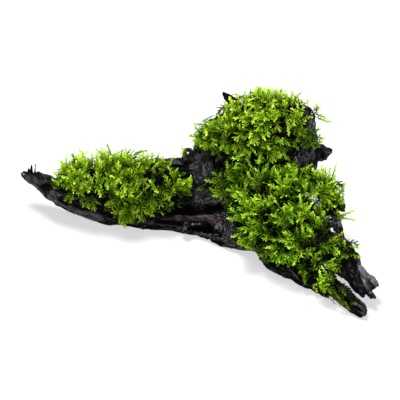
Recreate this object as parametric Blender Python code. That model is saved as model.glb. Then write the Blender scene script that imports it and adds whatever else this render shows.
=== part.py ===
"""Christmas moss on driftwood: a gnarled, nearly black branching root with a long left arm, an upright lobe and a
forked right root, grown over by cushions of feathery moss.

Frame: metres, +Z up, origin at the centre of the footprint, on the plane the wood rests on. +X runs from the tip of
the left arm towards the forked root, and -Y is the side that carries most of the moss.

The wood is built the way it grew, as a bundle of strands along the grain. Each strand is a lofted tube through a few
points, the tubes are fused, weathered with noise, cut flat where the wood rests, and sawn apart at the main forks.
"""

import math

import bpy
import bmesh
from mathutils import Vector, noise

MM = 0.001
GAP = 0.3  # between neighbouring pieces, mm
FLOOR = 0.0  # height of the cut faces that the wood rests on, mm
STRAND_SIDES = 14
STRAND_STEP = 3.0  # ring spacing along a strand, mm
WOOD_VOXEL = 1.25  # fusing grid for the wood, mm
MOSS_VOXEL = 2.0  # fusing grid for a moss cushion, mm
WEATHER_DEPTH = 1.0  # large hollows and swellings of the wood surface, mm
WOOD_TRIANGLES = 3100
CUSHION_TRIANGLES = 112
MOSS_CLEARANCE = 0.4  # from the bark to the underside of a cushion, mm
CENTRE = (-5.8, 4.1, 0.0)  # drawing coordinates of the frame's origin, mm

# Strands of the wood: points along the grain as x, y, z and radius, mm.
STRANDS = {
    # left arm
    "rim": [(-108.8, 39.5, 21.4, 1.8), (-104, 37.5, 19.5, 2.4), (-95.5, 34.5, 16.8, 3.6), (-84.5, 28.5, 11.3, 4.6), (-73.5, 23.5, 7.5, 5.2), (-54.5, 18, 5.5, 5.5), (-36.5, 16.5, 5, 5.5), (-18, 14, 5, 5.5), (0, 7.5, 5, 5.5), (15, -1, 5, 6), (26.5, -8, 5.5, 5.5), (33.5, -14, 6.5, 5)],
    "arm_core": [(-103, 35.5, 21, 3), (-93, 30.5, 18.8, 5.6), (-80, 25, 17, 8.5), (-65.5, 22, 16, 10.5), (-48.5, 20.5, 15.5, 12), (-30, 20.5, 15.5, 12), (-12, 20, 16.5, 11.5), (3, 23, 15.5, 11)],
    "arm_back": [(-105, 37, 22, 1.7), (-97, 30, 22.6, 3.4), (-87, 23, 23.6, 5), (-68.5, 20, 27, 8), (-47.5, 20, 29, 9), (-30, 22.5, 31, 9), (-17, 27, 32, 7.5), (-5, 29, 31.5, 7), (7, 33, 36, 10)],
    "arm_tail": [(-86, 29.5, 13, 4), (-67, 24.5, 9, 7), (-46, 27.5, 7, 9), (-21.5, 31.5, 8, 11), (3, 33, 10, 13)],
    "tip_block": [(-102.5, 36, 22.3, 2.4), (-97, 32.5, 22.5, 2.6), (-90.5, 26.5, 24, 3.6)],
    "tip_splinter": [(-104.6, 36.8, 22.3, 1.8), (-104, 36.3, 26, 1.5), (-103.2, 36, 30.5, 1.3)],
    # front of the trunk: the ridge over the long groove, and the lip of the lower hollow
    "face_ridge": [(-27, 13, 10, 2.2), (-17, 11, 10.3, 2.9), (-6, 9.2, 10.6, 3.1), (5, 6.5, 10.8, 3.4), (14, 3, 11.5, 4.2), (22.5, -3.5, 11, 5)],
    "face_knot": [(11.5, 9.5, 14, 4), (17, 5.5, 14, 5.5), (21, -0.5, 12.5, 5.5), (23.5, -6, 10, 5)],
    "face_lip": [(-8.5, 4, 7, 3.5), (0, 4, 9, 3), (8.5, 1.5, 10, 3), (16.5, -2.5, 9.5, 4), (23.5, -8, 8.5, 4.5)],
    # trunk and upper lobe
    "body_low": [(-10.5, 22, 17.5, 11), (7.5, 23, 17.5, 11.5), (24, 15, 19.5, 12.5), (41.5, -9, 19.5, 12.5)],
    "body_a": [(-2.5, 27, 17, 12), (7.5, 28.5, 26.5, 14), (17, 33.5, 39, 15.5), (27.5, 37, 52, 14.5), (36.5, 37, 62.5, 11)],
    "body_b": [(19.5, 20, 16, 13), (27.5, 22, 26.5, 16), (38, 28, 39.5, 17.5), (47.5, 34, 51, 16.5), (53, 38, 59, 12)],
    "body_c": [(36.5, 6, 17, 14), (46.5, 16, 27.5, 15), (55, 25, 37, 15), (58, 33, 47, 12), (59.5, 39, 55, 9.2), (61.2, 43.5, 60, 6.6)],
    "left_shoulder": [(-6, 30, 24, 11), (1.5, 35, 32, 8.5), (6, 40, 42, 9.5), (13, 42, 53.5, 9.5), (20.5, 43, 62.5, 8.5)],
    "horn": [(26.5, 38, 60, 7.5), (21.5, 40, 68.5, 4.8), (17.5, 43, 72.5, 2.8), (15, 45, 75, 1.3)],
    "side_nub": [(63.5, 32, 42.5, 8), (70, 32, 42, 5.2), (74.5, 33, 41.5, 4.2), (78, 34, 41.5, 1.6)],
    "side_nub_low": [(61.5, 24, 36.5, 9), (68.5, 26, 36.5, 4.6), (71, 28, 36.5, 3)],
    "hook": [(0, 30, 38, 4), (-4.6, 28.5, 42, 1.9), (-5.1, 28, 45.8, 1.3), (-6.6, 28, 47.3, 1.3), (-8.4, 28, 47, 1.3), (-9.1, 28, 45, 1.3), (-8.6, 28, 41, 1.8)],
    # the branch that loops off the right of the trunk and comes back down to the root
    "knob": [(56, 16, 35.5, 9.5), (64.5, 12, 34, 6.4), (72, 7, 31.5, 5.2), (78, 0, 29, 4.2), (82, -4, 28, 2.8)],
    "strut": [(74.5, 3, 30.5, 4.2), (76.5, -6, 28, 3), (78.5, -13, 25, 2.7), (80.5, -19, 22, 2.8), (81.5, -25, 19, 4), (83, -30, 17.5, 4.8)],
    # right root and its three prongs
    "root_core": [(42, 3, 24.5, 13.5), (52, -9, 21, 12), (60.5, -20, 17.5, 10.5), (68, -29.5, 15, 8.5), (73.5, -36, 12.5, 6.5)],
    "root_front": [(29, -5, 15, 11.5), (40.5, -17, 13, 10), (51.5, -26.5, 11, 8.5), (61, -36, 9, 7), (68, -44.5, 7.5, 5)],
    "root_inner": [(54, 2, 28.5, 8), (59.5, -5, 27, 6.5), (65.5, -14, 23.5, 5.4), (70, -22, 19, 5.4), (73, -28.5, 16, 6)],
    "root_link": [(67, -27, 17, 7.5), (74.5, -28.5, 17.5, 6.5), (81, -31.5, 17, 6)],
    "prong_a": [(35.5, -25.5, 7, 1.6), (39, -28, 6.5, 3.4), (48, -33.5, 6, 4.5), (58, -40.5, 5, 4.1), (64.5, -46.5, 4, 3.2), (70, -53.5, 3.5, 1.3)],
    "prong_a_top": [(34.5, -17, 11.5, 5), (44.5, -26.5, 9, 6), (54, -35, 8, 5.2), (62, -42.5, 6.5, 4), (67, -48, 5, 2.6)],
    "prong_b": [(58, -28.5, 14, 8), (66, -39.5, 10.5, 5.2), (71, -46.5, 8, 4.7), (76.2, -53, 6, 4.4), (82.2, -60.8, 4.4, 3.9), (86.2, -65.4, 3.8, 3.4), (87.4, -66.8, 3.4, 2.9)],
    "plate_right": [(79.5, -31.5, 18.5, 4.6), (80.5, -36, 17, 4.2), (82.8, -42, 15, 4.0), (87.6, -48.5, 13, 4.2), (93.2, -53, 11, 4.0)],
    "plate_left": [(74, -37.5, 16, 5.5), (77.5, -43, 14, 4.6), (81.5, -48, 12, 4.3), (85.5, -53, 10, 4), (88, -57, 9, 2.8)],
    "plate_mid": [(77.5, -35.5, 18, 5.4), (81, -43.5, 15, 5), (85.5, -48.5, 12.5, 4.8), (90, -54, 10.5, 4.2)],
    "fray_a": [(90, -54.5, 10.5, 3.2), (93, -58, 9, 2.3), (95, -61.5, 8, 1.6)],
    "fray_b": [(94, -53, 11, 3.5), (97, -54, 11, 2.2)],
    # the side that faces away: the foot that carries the lobe, and the back of the arm
    "back_foot": [(20, 36, 32, 16), (26, 50, 20, 15), (30, 58, 9, 12)],
    "back_lobe": [(34, 44, 40, 15), (42, 52, 46, 13), (46, 54, 52, 11)],
    "back_arm": [(-62, 34, 12, 8), (-30, 36, 12, 11), (0, 38, 15, 14), (28, 42, 16, 15)],
    "back_heel": [(44, 36, 22, 15), (54, 46, 12, 11), (60, 52, 6, 7)],
    # the web under the looping branch, and the shelf beside the end prong
    "strut_web": [(64, -6, 24, 4), (68.5, -7, 23.8, 5.0), (72.5, -10, 23.6, 5.4), (77, -12.5, 24.5, 3.4)],
    "root_shelf": [(81, -27, 17, 4), (84.8, -33.5, 16, 4), (87.2, -38.5, 16, 3.2), (87.6, -42, 15, 2.4)],
}

# Hollows worn into the wood, as strands that are taken away again, and narrow gaps that go right through, as the
# corners of the wedge of air, mm.
HOLLOWS = {
    "low_groove": [(-31, 10, 9, 1.3), (-22, 8.5, 7.6, 1.7), (-12, 6, 7.8, 2), (-6, 3, 8, 2.2)],
    "long_groove": [(-33, 9.5, 15, 2.4), (-16, 9.5, 16, 3.4), (0, 9.5, 16.5, 3.6), (15, 9, 17, 3.4), (25, 8, 18, 2.4)],
    "lower_hollow": [(-6, 2.5, 8, 2.2), (2, 1, 8.5, 3.2), (9.5, -0, 8.5, 2.8), (14, -2, 8.5, 1.6)],
}
GAPS = {
    "fork_slot": [(77.5, -24, -4), (84.5, -31, -4), (92.5, -47.5, -4), (94, -54, -4), (85, -40.5, -4), (78.5, -32, -4), (72, -59, 24), (78, -65, 24), (85.5, -80, 24), (87, -86.5, 24), (78.5, -74, 24), (73, -66, 24)],
    "fork_hole": [(71.5, -15, -4), (74, -15.5, -4), (76.5, -21, -4), (74, -22.5, -4), (71.5, -17.5, -4), (65, -58, 30), (67.5, -58, 30), (69.5, -63.5, 30), (67, -64.5, 30), (65, -60.5, 30)],
    "strut_hole": [(78, 13.5, 0), (80, 13, 0), (82.5, 7.5, 0), (81.5, 5.5, 0), (79, 8.5, 0), (69.5, -40.5, 40), (71.5, -40.5, 40), (73.5, -45.5, 40), (73, -47.5, 40), (70.5, -45, 40)],
}

# Moss cushions: overlapping balls as x, y, z and radius, mm. Each cushion ends where its longest fronds end.
CUSHIONS = {
    "arm_outer": [(-81, 22, 32, 8), (-72, 26, 35, 9.5), (-77.5, 21.5, 23, 8), (-65, 17, 31, 10.5), (-67.5, 18, 16, 8)],
    "arm_middle": [(-57, 24, 38.5, 9.5), (-46, 20, 40.5, 9.5), (-35.5, 18, 41, 9), (-55.5, 14.5, 30, 11), (-41.5, 12.5, 30, 11.5)],
    "arm_hanging": [(-54, 15, 16, 8.5), (-43, 11.5, 15.5, 9.5), (-32.5, 13.5, 17, 8), (-44.5, 8, 9, 5)],
    "arm_inner": [(-25.5, 19, 37.5, 8.5), (-17.5, 18, 34.5, 8), (-22, 14, 26.5, 10), (-10, 15, 27.5, 7.5), (-20, 11, 18, 6.5)],
    "lobe_left": [(-0.5, 30, 53.5, 5.5), (5, 31, 59.5, 7), (12, 33, 65.5, 7.5), (8, 25, 55.5, 8), (18.5, 36.5, 69, 8)],
    "lobe_front": [(23, 24, 65.5, 10), (36, 24.5, 66.5, 11), (50, 26.5, 65.5, 10.5), (27.5, 19, 52.5, 10), (43, 18, 53, 11.5), (56.5, 24.5, 50.5, 7), (15, 20.5, 54, 8)],
    "lobe_crown": [(38, 46, 68.5, 10.5), (53.5, 46, 65, 9), (28.5, 41, 67.5, 9), (44.5, 36, 70.5, 9)],
    "trunk_upper": [(12.5, 14.5, 33.5, 5.5), (23, 10.5, 42.5, 9), (35.5, 8, 44, 10), (48.5, 4, 44, 9.5), (24.5, 4, 35, 9), (35.5, -2.5, 38, 11), (49.5, -6.5, 38, 10)],
    "trunk_lower": [(21.5, -2, 25.5, 8.5), (32, -13.5, 31, 10.5), (45.5, -18, 32, 10.5), (24, -16, 23, 8.5), (35, -22.5, 24, 10), (56.5, -18.5, 32.5, 9)],
    "shoulder": [(65, 8.5, 41.5, 7.5), (73, 5.5, 38.5, 8), (79.5, -2, 36.5, 7), (66, -8, 35, 7.5), (76.5, -8, 32.5, 6)],
    "root_front": [(29, -24, 16.5, 7.5), (38, -31, 16, 8), (48, -34, 20, 10), (45, -25.5, 23.5, 9.5), (56, -40, 17, 8)],
    "root_back": [(57.5, -28.5, 27, 9.5), (65.5, -34, 25, 9.5), (74, -39, 23.5, 8), (81, -36, 23.5, 6.5), (73.5, -45.5, 19.5, 7), (64, -40.5, 19.5, 8), (67, -21, 30, 8)],
    "prong_fringe": [(59.5, -44.5, 12, 5), (65, -49, 11, 6), (71.5, -55.5, 10.5, 6), (77.5, -61.5, 9, 5)],
    "lobe_back": [(24, 58, 52, 9), (38, 63, 46, 10), (52, 60, 42, 9), (20, 62, 38, 8.5), (36, 70, 32, 8)],
}

# Saw cuts at the forks, in drawing coordinates, mm, taken one after the other: the name of the piece that comes away,
# and the planes that bound it, each as a point and the direction that points into the piece. The first plane is the cut.
CUTS = [
    ("driftwood_left_arm", [((-24, 20, 15), (-1, 0.12, 0.1))]),
    ("driftwood_horn", [((20.2, 40, 68), (-0.55, 0.45, 0.7)), ((20, 40, 58), (0, 0, 1)), ((24, 40, 60), (-1, 0, 0))]),
    ("driftwood_side_nub", [((69, 32, 40), (0.97, 0.15, -0.05)), ((70, 18, 40), (0, 1, 0)), ((70, 30, 51), (0, 0, -1)), ((70, 30, 32), (0, 0, 1))]),
    ("driftwood_upper_lobe", [((30, 30, 45), (0.1, 0.05, 0.97))]),
    ("driftwood_lower_prong", [((52, -38.6, 7), (-0.64, -0.77, -0.05)), ((34.5, -22, 6), (0.9, -0.43, 0)), ((54, -40, 13), (0, 0, -1)), ((72, -56, 4), (-0.77, 0.64, 0))]),
    ("driftwood_end_prong", [((78.5, -37, 15), (0.5, -0.85, -0.15)), ((67.7, -35.5, 8.6), (0.61, 0.45, 0.65))]),
    ("driftwood_middle_prong", [((69, -44, 9), (0.62, -0.76, -0.2)), ((67.7, -35.5, 8.6), (-0.61, -0.45, -0.65))]),
    ("driftwood_loop_branch", [((70, 5, 35), (0.85, -0.5, 0.1)), ((79, -26, 20), (-0.1, 0.6, 0.8)), ((70.5, -10, 26), (0.9, 0.3, 0.25))]),
    ("driftwood_right_root", [((44, -10, 20), (0.72, -0.66, -0.2))]),
]

WOOD_COLOURS = {
    "driftwood_trunk": (0.030, 0.026, 0.024, 1.0),
    "driftwood_left_arm": (0.026, 0.023, 0.022, 1.0),
    "driftwood_upper_lobe": (0.034, 0.030, 0.029, 1.0),
    "driftwood_end_prong": (0.060, 0.055, 0.052, 1.0),
}
WOOD_COLOUR = (0.028, 0.025, 0.024, 1.0)
MOSS_COLOURS = {
    "arm_hanging": (0.16, 0.42, 0.02, 1.0),
    "trunk_upper": (0.16, 0.36, 0.02, 1.0),
    "trunk_lower": (0.18, 0.40, 0.02, 1.0),
    "root_back": (0.10, 0.27, 0.02, 1.0),
    "prong_fringe": (0.08, 0.22, 0.02, 1.0),
}
MOSS_COLOUR = (0.22, 0.50, 0.03, 1.0)


def remove_everything():
    for item in list(bpy.data.objects):
        bpy.data.objects.remove(item, do_unlink=True)


def material(name, colour, roughness):
    made = bpy.data.materials.new(name)
    made.use_nodes = True
    shader = made.node_tree.nodes["Principled BSDF"]
    shader.inputs["Base Color"].default_value = colour
    shader.inputs["Roughness"].default_value = roughness
    shader.inputs["Metallic"].default_value = 0.0
    made.diffuse_color = colour
    return made


def new_object(name, mesh):
    made = bpy.data.objects.new(name, mesh)
    bpy.context.scene.collection.objects.link(made)
    return made


def evaluated_mesh(item):
    """The mesh of the object with its modifiers applied; the object keeps it and loses the modifiers."""
    bpy.context.view_layer.update()
    graph = bpy.context.evaluated_depsgraph_get()
    mesh = bpy.data.meshes.new_from_object(item.evaluated_get(graph))
    item.modifiers.clear()
    old = item.data
    item.data = mesh
    bpy.data.meshes.remove(old)
    return mesh


def spline(points, step):
    """Points of a Catmull-Rom curve through the given ones, about a step apart. The radius runs along with them."""
    ends = [tuple(2 * a - b for a, b in zip(points[0], points[1]))]
    tail = [tuple(2 * a - b for a, b in zip(points[-1], points[-2]))]
    knots = ends + [tuple(p) for p in points] + tail
    smooth = []
    for i in range(1, len(knots) - 2):
        p0, p1, p2, p3 = knots[i - 1 : i + 3]
        length = math.dist(p1[:3], p2[:3])
        count = max(1, round(length / step))
        for j in range(count):
            t = j / count
            smooth.append(
                tuple(
                    0.5 * (2 * b + (c - a) * t + (2 * a - 5 * b + 4 * c - d) * t * t + (3 * b - a - 3 * c + d) * t ** 3)
                    for a, b, c, d in zip(p0, p1, p2, p3)
                )
            )
    smooth.append(tuple(points[-1]))
    return smooth


def strand(target, points, phase):
    """A closed tube along the points whose section is a fluted, slightly twisting round, with domed ends."""
    line = spline(points, STRAND_STEP)
    centres = [Vector(p[:3]) for p in line]
    radii = [max(p[3], 0.8) for p in line]
    first = (centres[1] - centres[0]).normalized()
    last = (centres[-1] - centres[-2]).normalized()
    rings = []
    for k in (1.0, 0.72, 0.38):
        rings.append((centres[0] - first * radii[0] * k, radii[0] * math.sqrt(1 - k * k) if k < 1 else 0.12 * radii[0], first))
    for i, (centre, radius) in enumerate(zip(centres, radii)):
        ahead = centres[min(i + 1, len(centres) - 1)] - centres[max(i - 1, 0)]
        rings.append((centre, radius, ahead.normalized()))
    for k in (0.38, 0.72, 1.0):
        rings.append((centres[-1] + last * radii[-1] * k, radii[-1] * math.sqrt(1 - k * k) if k < 1 else 0.12 * radii[-1], last))
    side = first.orthogonal().normalized()
    rows = []
    for i, (centre, radius, ahead) in enumerate(rings):
        side = (side - ahead * side.dot(ahead)).normalized()
        other = ahead.cross(side)
        row = []
        for j in range(STRAND_SIDES):
            angle = 2 * math.pi * j / STRAND_SIDES
            flute = 1 + 0.09 * math.sin(3 * angle + phase + 0.11 * i) + 0.06 * math.sin(5 * angle + 2.3 * phase - 0.07 * i)
            row.append(target.verts.new(centre + (side * math.cos(angle) + other * math.sin(angle)) * radius * flute))
        rows.append(row)
    for low, high in zip(rows, rows[1:]):
        for j in range(STRAND_SIDES):
            k = (j + 1) % STRAND_SIDES
            target.faces.new((low[j], low[k], high[k], high[j]))
    target.faces.new(list(reversed(rows[0])))
    target.faces.new(rows[-1])


def scaled_mesh(name, target):
    """A mesh in metres in the part's frame, from a bmesh drawn in millimetres."""
    shift = Vector(CENTRE)
    for vertex in target.verts:
        vertex.co = (vertex.co - shift) * MM
    bmesh.ops.recalc_face_normals(target, faces=target.faces)
    mesh = bpy.data.meshes.new(name)
    target.to_mesh(mesh)
    target.free()
    return mesh


def fused(item, voxel):
    remesh = item.modifiers.new("fuse", "REMESH")
    remesh.mode = "VOXEL"
    remesh.voxel_size = voxel * MM
    remesh.adaptivity = 0.0
    evaluated_mesh(item)
    keep_largest(item)


def islands(target):
    """Lists of the faces that hang together."""
    seen = set()
    found = []
    for start in target.faces:
        if start in seen:
            continue
        seen.add(start)
        stack, group = [start], []
        while stack:
            face = stack.pop()
            group.append(face)
            for edge in face.edges:
                for near in edge.link_faces:
                    if near not in seen:
                        seen.add(near)
                        stack.append(near)
        found.append(group)
    return found


def keep_largest(item):
    """Drops inner pockets and crumbs, so that the piece is one closed surface."""
    target = bmesh.new()
    target.from_mesh(item.data)
    groups = sorted(islands(target), key=len)
    crumbs = [face for group in groups[:-1] for face in group]
    if crumbs:
        bmesh.ops.delete(target, geom=crumbs, context="FACES")
    target.to_mesh(item.data)
    target.free()
    return len(groups)


def smoothed(item, rounds, factor):
    smooth = item.modifiers.new("smooth", "SMOOTH")
    smooth.iterations = rounds
    smooth.factor = factor
    evaluated_mesh(item)


def weathered(item, depth, size, seed):
    """Moves the surface in and out by a smooth noise, three sizes of swelling over each other."""
    mesh = item.data
    shift = Vector(CENTRE)
    offset = Vector((seed * 17.3, seed * 5.1, seed * 9.7))
    normals = [vertex.normal.copy() for vertex in mesh.vertices]
    for vertex, normal in zip(mesh.vertices, normals):
        place = vertex.co / MM + shift + offset
        value = noise.noise(place / size) + 0.55 * noise.noise(place / (size * 0.45)) + 0.25 * noise.noise(place / (size * 0.2))
        vertex.co += normal * (value * depth * MM)


def decimated(item, triangles):
    mesh = item.data
    mesh.calc_loop_triangles()
    fewer = item.modifiers.new("fewer", "DECIMATE")
    fewer.ratio = min(1.0, triangles / len(mesh.loop_triangles))
    fewer.use_collapse_triangulate = True
    evaluated_mesh(item)


def boolean(item, cutter, operation, folded=False):
    """Cuts or keeps; folded is for a surface that may pass through itself in a crease, which this also mends."""
    cut = item.modifiers.new("cut", "BOOLEAN")
    cut.operation = operation
    cut.object = cutter
    cut.solver = "EXACT"
    cut.use_self = folded
    evaluated_mesh(item)


def helper(name, mesh):
    made = new_object(name, mesh)
    made.hide_render = True
    made.display_type = "WIRE"
    return made


def wedge(name, planes, grow):
    """The room that a saw cut takes away: a large block cut back to the inner side of each plane, grown by a margin, mm."""
    target = bmesh.new()
    bmesh.ops.create_cube(target, size=400.0)
    for point, inward in planes:
        direction = Vector(inward).normalized()
        result = bmesh.ops.bisect_plane(
            target,
            geom=target.verts[:] + target.edges[:] + target.faces[:],
            plane_co=Vector(point) - direction * grow,
            plane_no=direction,
            clear_inner=True,
        )
        rim = [edge for edge in result["geom_cut"] if isinstance(edge, bmesh.types.BMEdge)]
        bmesh.ops.contextual_create(target, geom=rim)
    return helper(name, scaled_mesh(name, target))


def below_floor():
    target = bmesh.new()
    bmesh.ops.create_cube(target, size=1.0)
    for vertex in target.verts:
        vertex.co = Vector((vertex.co.x * 400, vertex.co.y * 400, FLOOR - 25 + vertex.co.z * 50))
    return helper("below_floor", scaled_mesh("below_floor", target))


def inflated(item, name, margin):
    """A copy of the piece with its surface moved out by a margin, mm."""
    mesh = item.data.copy()
    normals = [vertex.normal.copy() for vertex in mesh.vertices]
    for vertex, normal in zip(mesh.vertices, normals):
        vertex.co += normal * (margin * MM)
    return helper(name, mesh)


def hollow(wood):
    """Takes the worn hollows and the through gaps out of the wood."""
    for index, (name, points) in enumerate(HOLLOWS.items()):
        target = bmesh.new()
        strand(target, points, 0.9 * index)
        boolean(wood, helper(name, scaled_mesh(name, target)), "DIFFERENCE")
    for name, corners in GAPS.items():
        target = bmesh.new()
        made = [target.verts.new(corner) for corner in corners]
        bmesh.ops.convex_hull(target, input=made)
        boolean(wood, helper(name, scaled_mesh(name, target)), "DIFFERENCE")


def make_wood():
    target = bmesh.new()
    for index, points in enumerate(STRANDS.values()):
        strand(target, points, 1.7 * index)
    wood = new_object("driftwood", scaled_mesh("driftwood", target))
    fused(wood, WOOD_VOXEL)
    hollow(wood)
    fused(wood, WOOD_VOXEL)
    smoothed(wood, 4, 0.5)
    weathered(wood, WEATHER_DEPTH, 16.0, 1)
    decimated(wood, WOOD_TRIANGLES)
    floor = below_floor()
    boolean(wood, floor, "DIFFERENCE", folded=True)
    keep_largest(wood)
    return wood


def saw(wood):
    """Separates the wood at its forks and returns the pieces."""
    pieces = []
    for name, planes in CUTS:
        exact = wedge("saw_" + name, planes, 0.0)
        grown = wedge("kerf_" + name, planes, GAP)
        piece = new_object(name, wood.data.copy())
        boolean(piece, exact, "INTERSECT")
        keep_largest(piece)
        boolean(wood, grown, "DIFFERENCE")
        keep_largest(wood)
        pieces.append(piece)
    wood.name = "driftwood_trunk"
    pieces.append(wood)
    return pieces


def make_cushion(name, balls, seed):
    target = bmesh.new()
    for x, y, z, radius in balls:
        made = bmesh.ops.create_icosphere(target, subdivisions=3, radius=radius)
        bmesh.ops.translate(target, verts=made["verts"], vec=Vector((x, y, z)))
    cushion = new_object("moss_" + name, scaled_mesh(name, target))
    fused(cushion, MOSS_VOXEL)
    smoothed(cushion, 2, 0.5)
    weathered(cushion, 1.6, 9.0, seed)
    decimated(cushion, CUSHION_TRIANGLES)
    return cushion


def make_moss(wood):
    bark = inflated(wood, "bark_clearance", MOSS_CLEARANCE)
    floor = below_floor()
    boolean(bark, floor, "DIFFERENCE", folded=True)
    cushions, before = [], []
    for seed, (name, balls) in enumerate(CUSHIONS.items(), 11):
        cushion = make_cushion(name, balls, seed)
        whole = inflated(cushion, "clearance_" + name, GAP)
        for neighbour in before:
            boolean(cushion, neighbour, "DIFFERENCE")
        boolean(cushion, bark, "DIFFERENCE")
        boolean(cushion, floor, "DIFFERENCE")
        keep_largest(cushion)
        before.append(whole)
        cushions.append(cushion)
    return cushions


def finish(item, colour, roughness):
    item.data.materials.clear()
    item.data.materials.append(material(item.name, colour, roughness))
    item.data.shade_smooth()
    item.data.set_sharp_from_angle(angle=math.radians(50))


def main():
    remove_everything()
    wood = make_wood()
    cushions = make_moss(wood)
    for piece in saw(wood):
        finish(piece, WOOD_COLOURS.get(piece.name, WOOD_COLOUR), 0.55)
    for cushion in cushions:
        finish(cushion, MOSS_COLOURS.get(cushion.name[5:], MOSS_COLOUR), 0.7)


main()
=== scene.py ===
"""Christmas moss on driftwood: the finish. Weathered, nearly black wood with its grain, cracks and frayed ends, and
cushions of feathery moss made of flat, fir-like fronds, each with its side branchlets and scale-like leaves.

Everything is in the part's own frame. The wood is drawn again from the strands that it grew from, on a finer grid, and
the moss fronds are rooted on that wood.
"""

import math

import bmesh
import bpy
import numpy as np
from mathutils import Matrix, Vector, noise
from mathutils.bvhtree import BVHTree
from mathutils.kdtree import KDTree


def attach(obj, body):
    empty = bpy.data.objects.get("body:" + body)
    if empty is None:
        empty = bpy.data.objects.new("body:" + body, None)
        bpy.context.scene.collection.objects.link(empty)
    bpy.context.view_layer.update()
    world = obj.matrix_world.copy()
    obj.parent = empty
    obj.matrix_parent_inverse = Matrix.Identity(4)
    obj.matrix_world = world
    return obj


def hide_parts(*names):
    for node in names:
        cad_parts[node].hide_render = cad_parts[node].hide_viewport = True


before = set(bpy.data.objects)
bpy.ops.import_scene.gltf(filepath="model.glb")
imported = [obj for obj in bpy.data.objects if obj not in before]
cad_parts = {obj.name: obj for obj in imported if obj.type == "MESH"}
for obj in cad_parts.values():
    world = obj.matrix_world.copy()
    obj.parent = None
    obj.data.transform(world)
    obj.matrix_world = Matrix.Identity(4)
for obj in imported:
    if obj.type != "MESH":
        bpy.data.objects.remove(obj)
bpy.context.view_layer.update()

MM = 0.001
CENTRE = np.array((-5.8, 4.1, 0.0))  # drawing coordinates of the frame's origin, mm
WOOD_VOXEL = 0.5  # mm
STRAND_SIDES = 20
STRAND_STEP = 2.0
WOOD_TRIANGLES = 360000

# The view from the front and above, in drawing coordinates, mm.
VIEW_TARGET = np.array((0.0, 0.0, 30.0))
VIEW_RISE = math.radians(35.0)
VIEW_DISTANCE = 600.0
VIEW_LENS = 93.1

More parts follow.
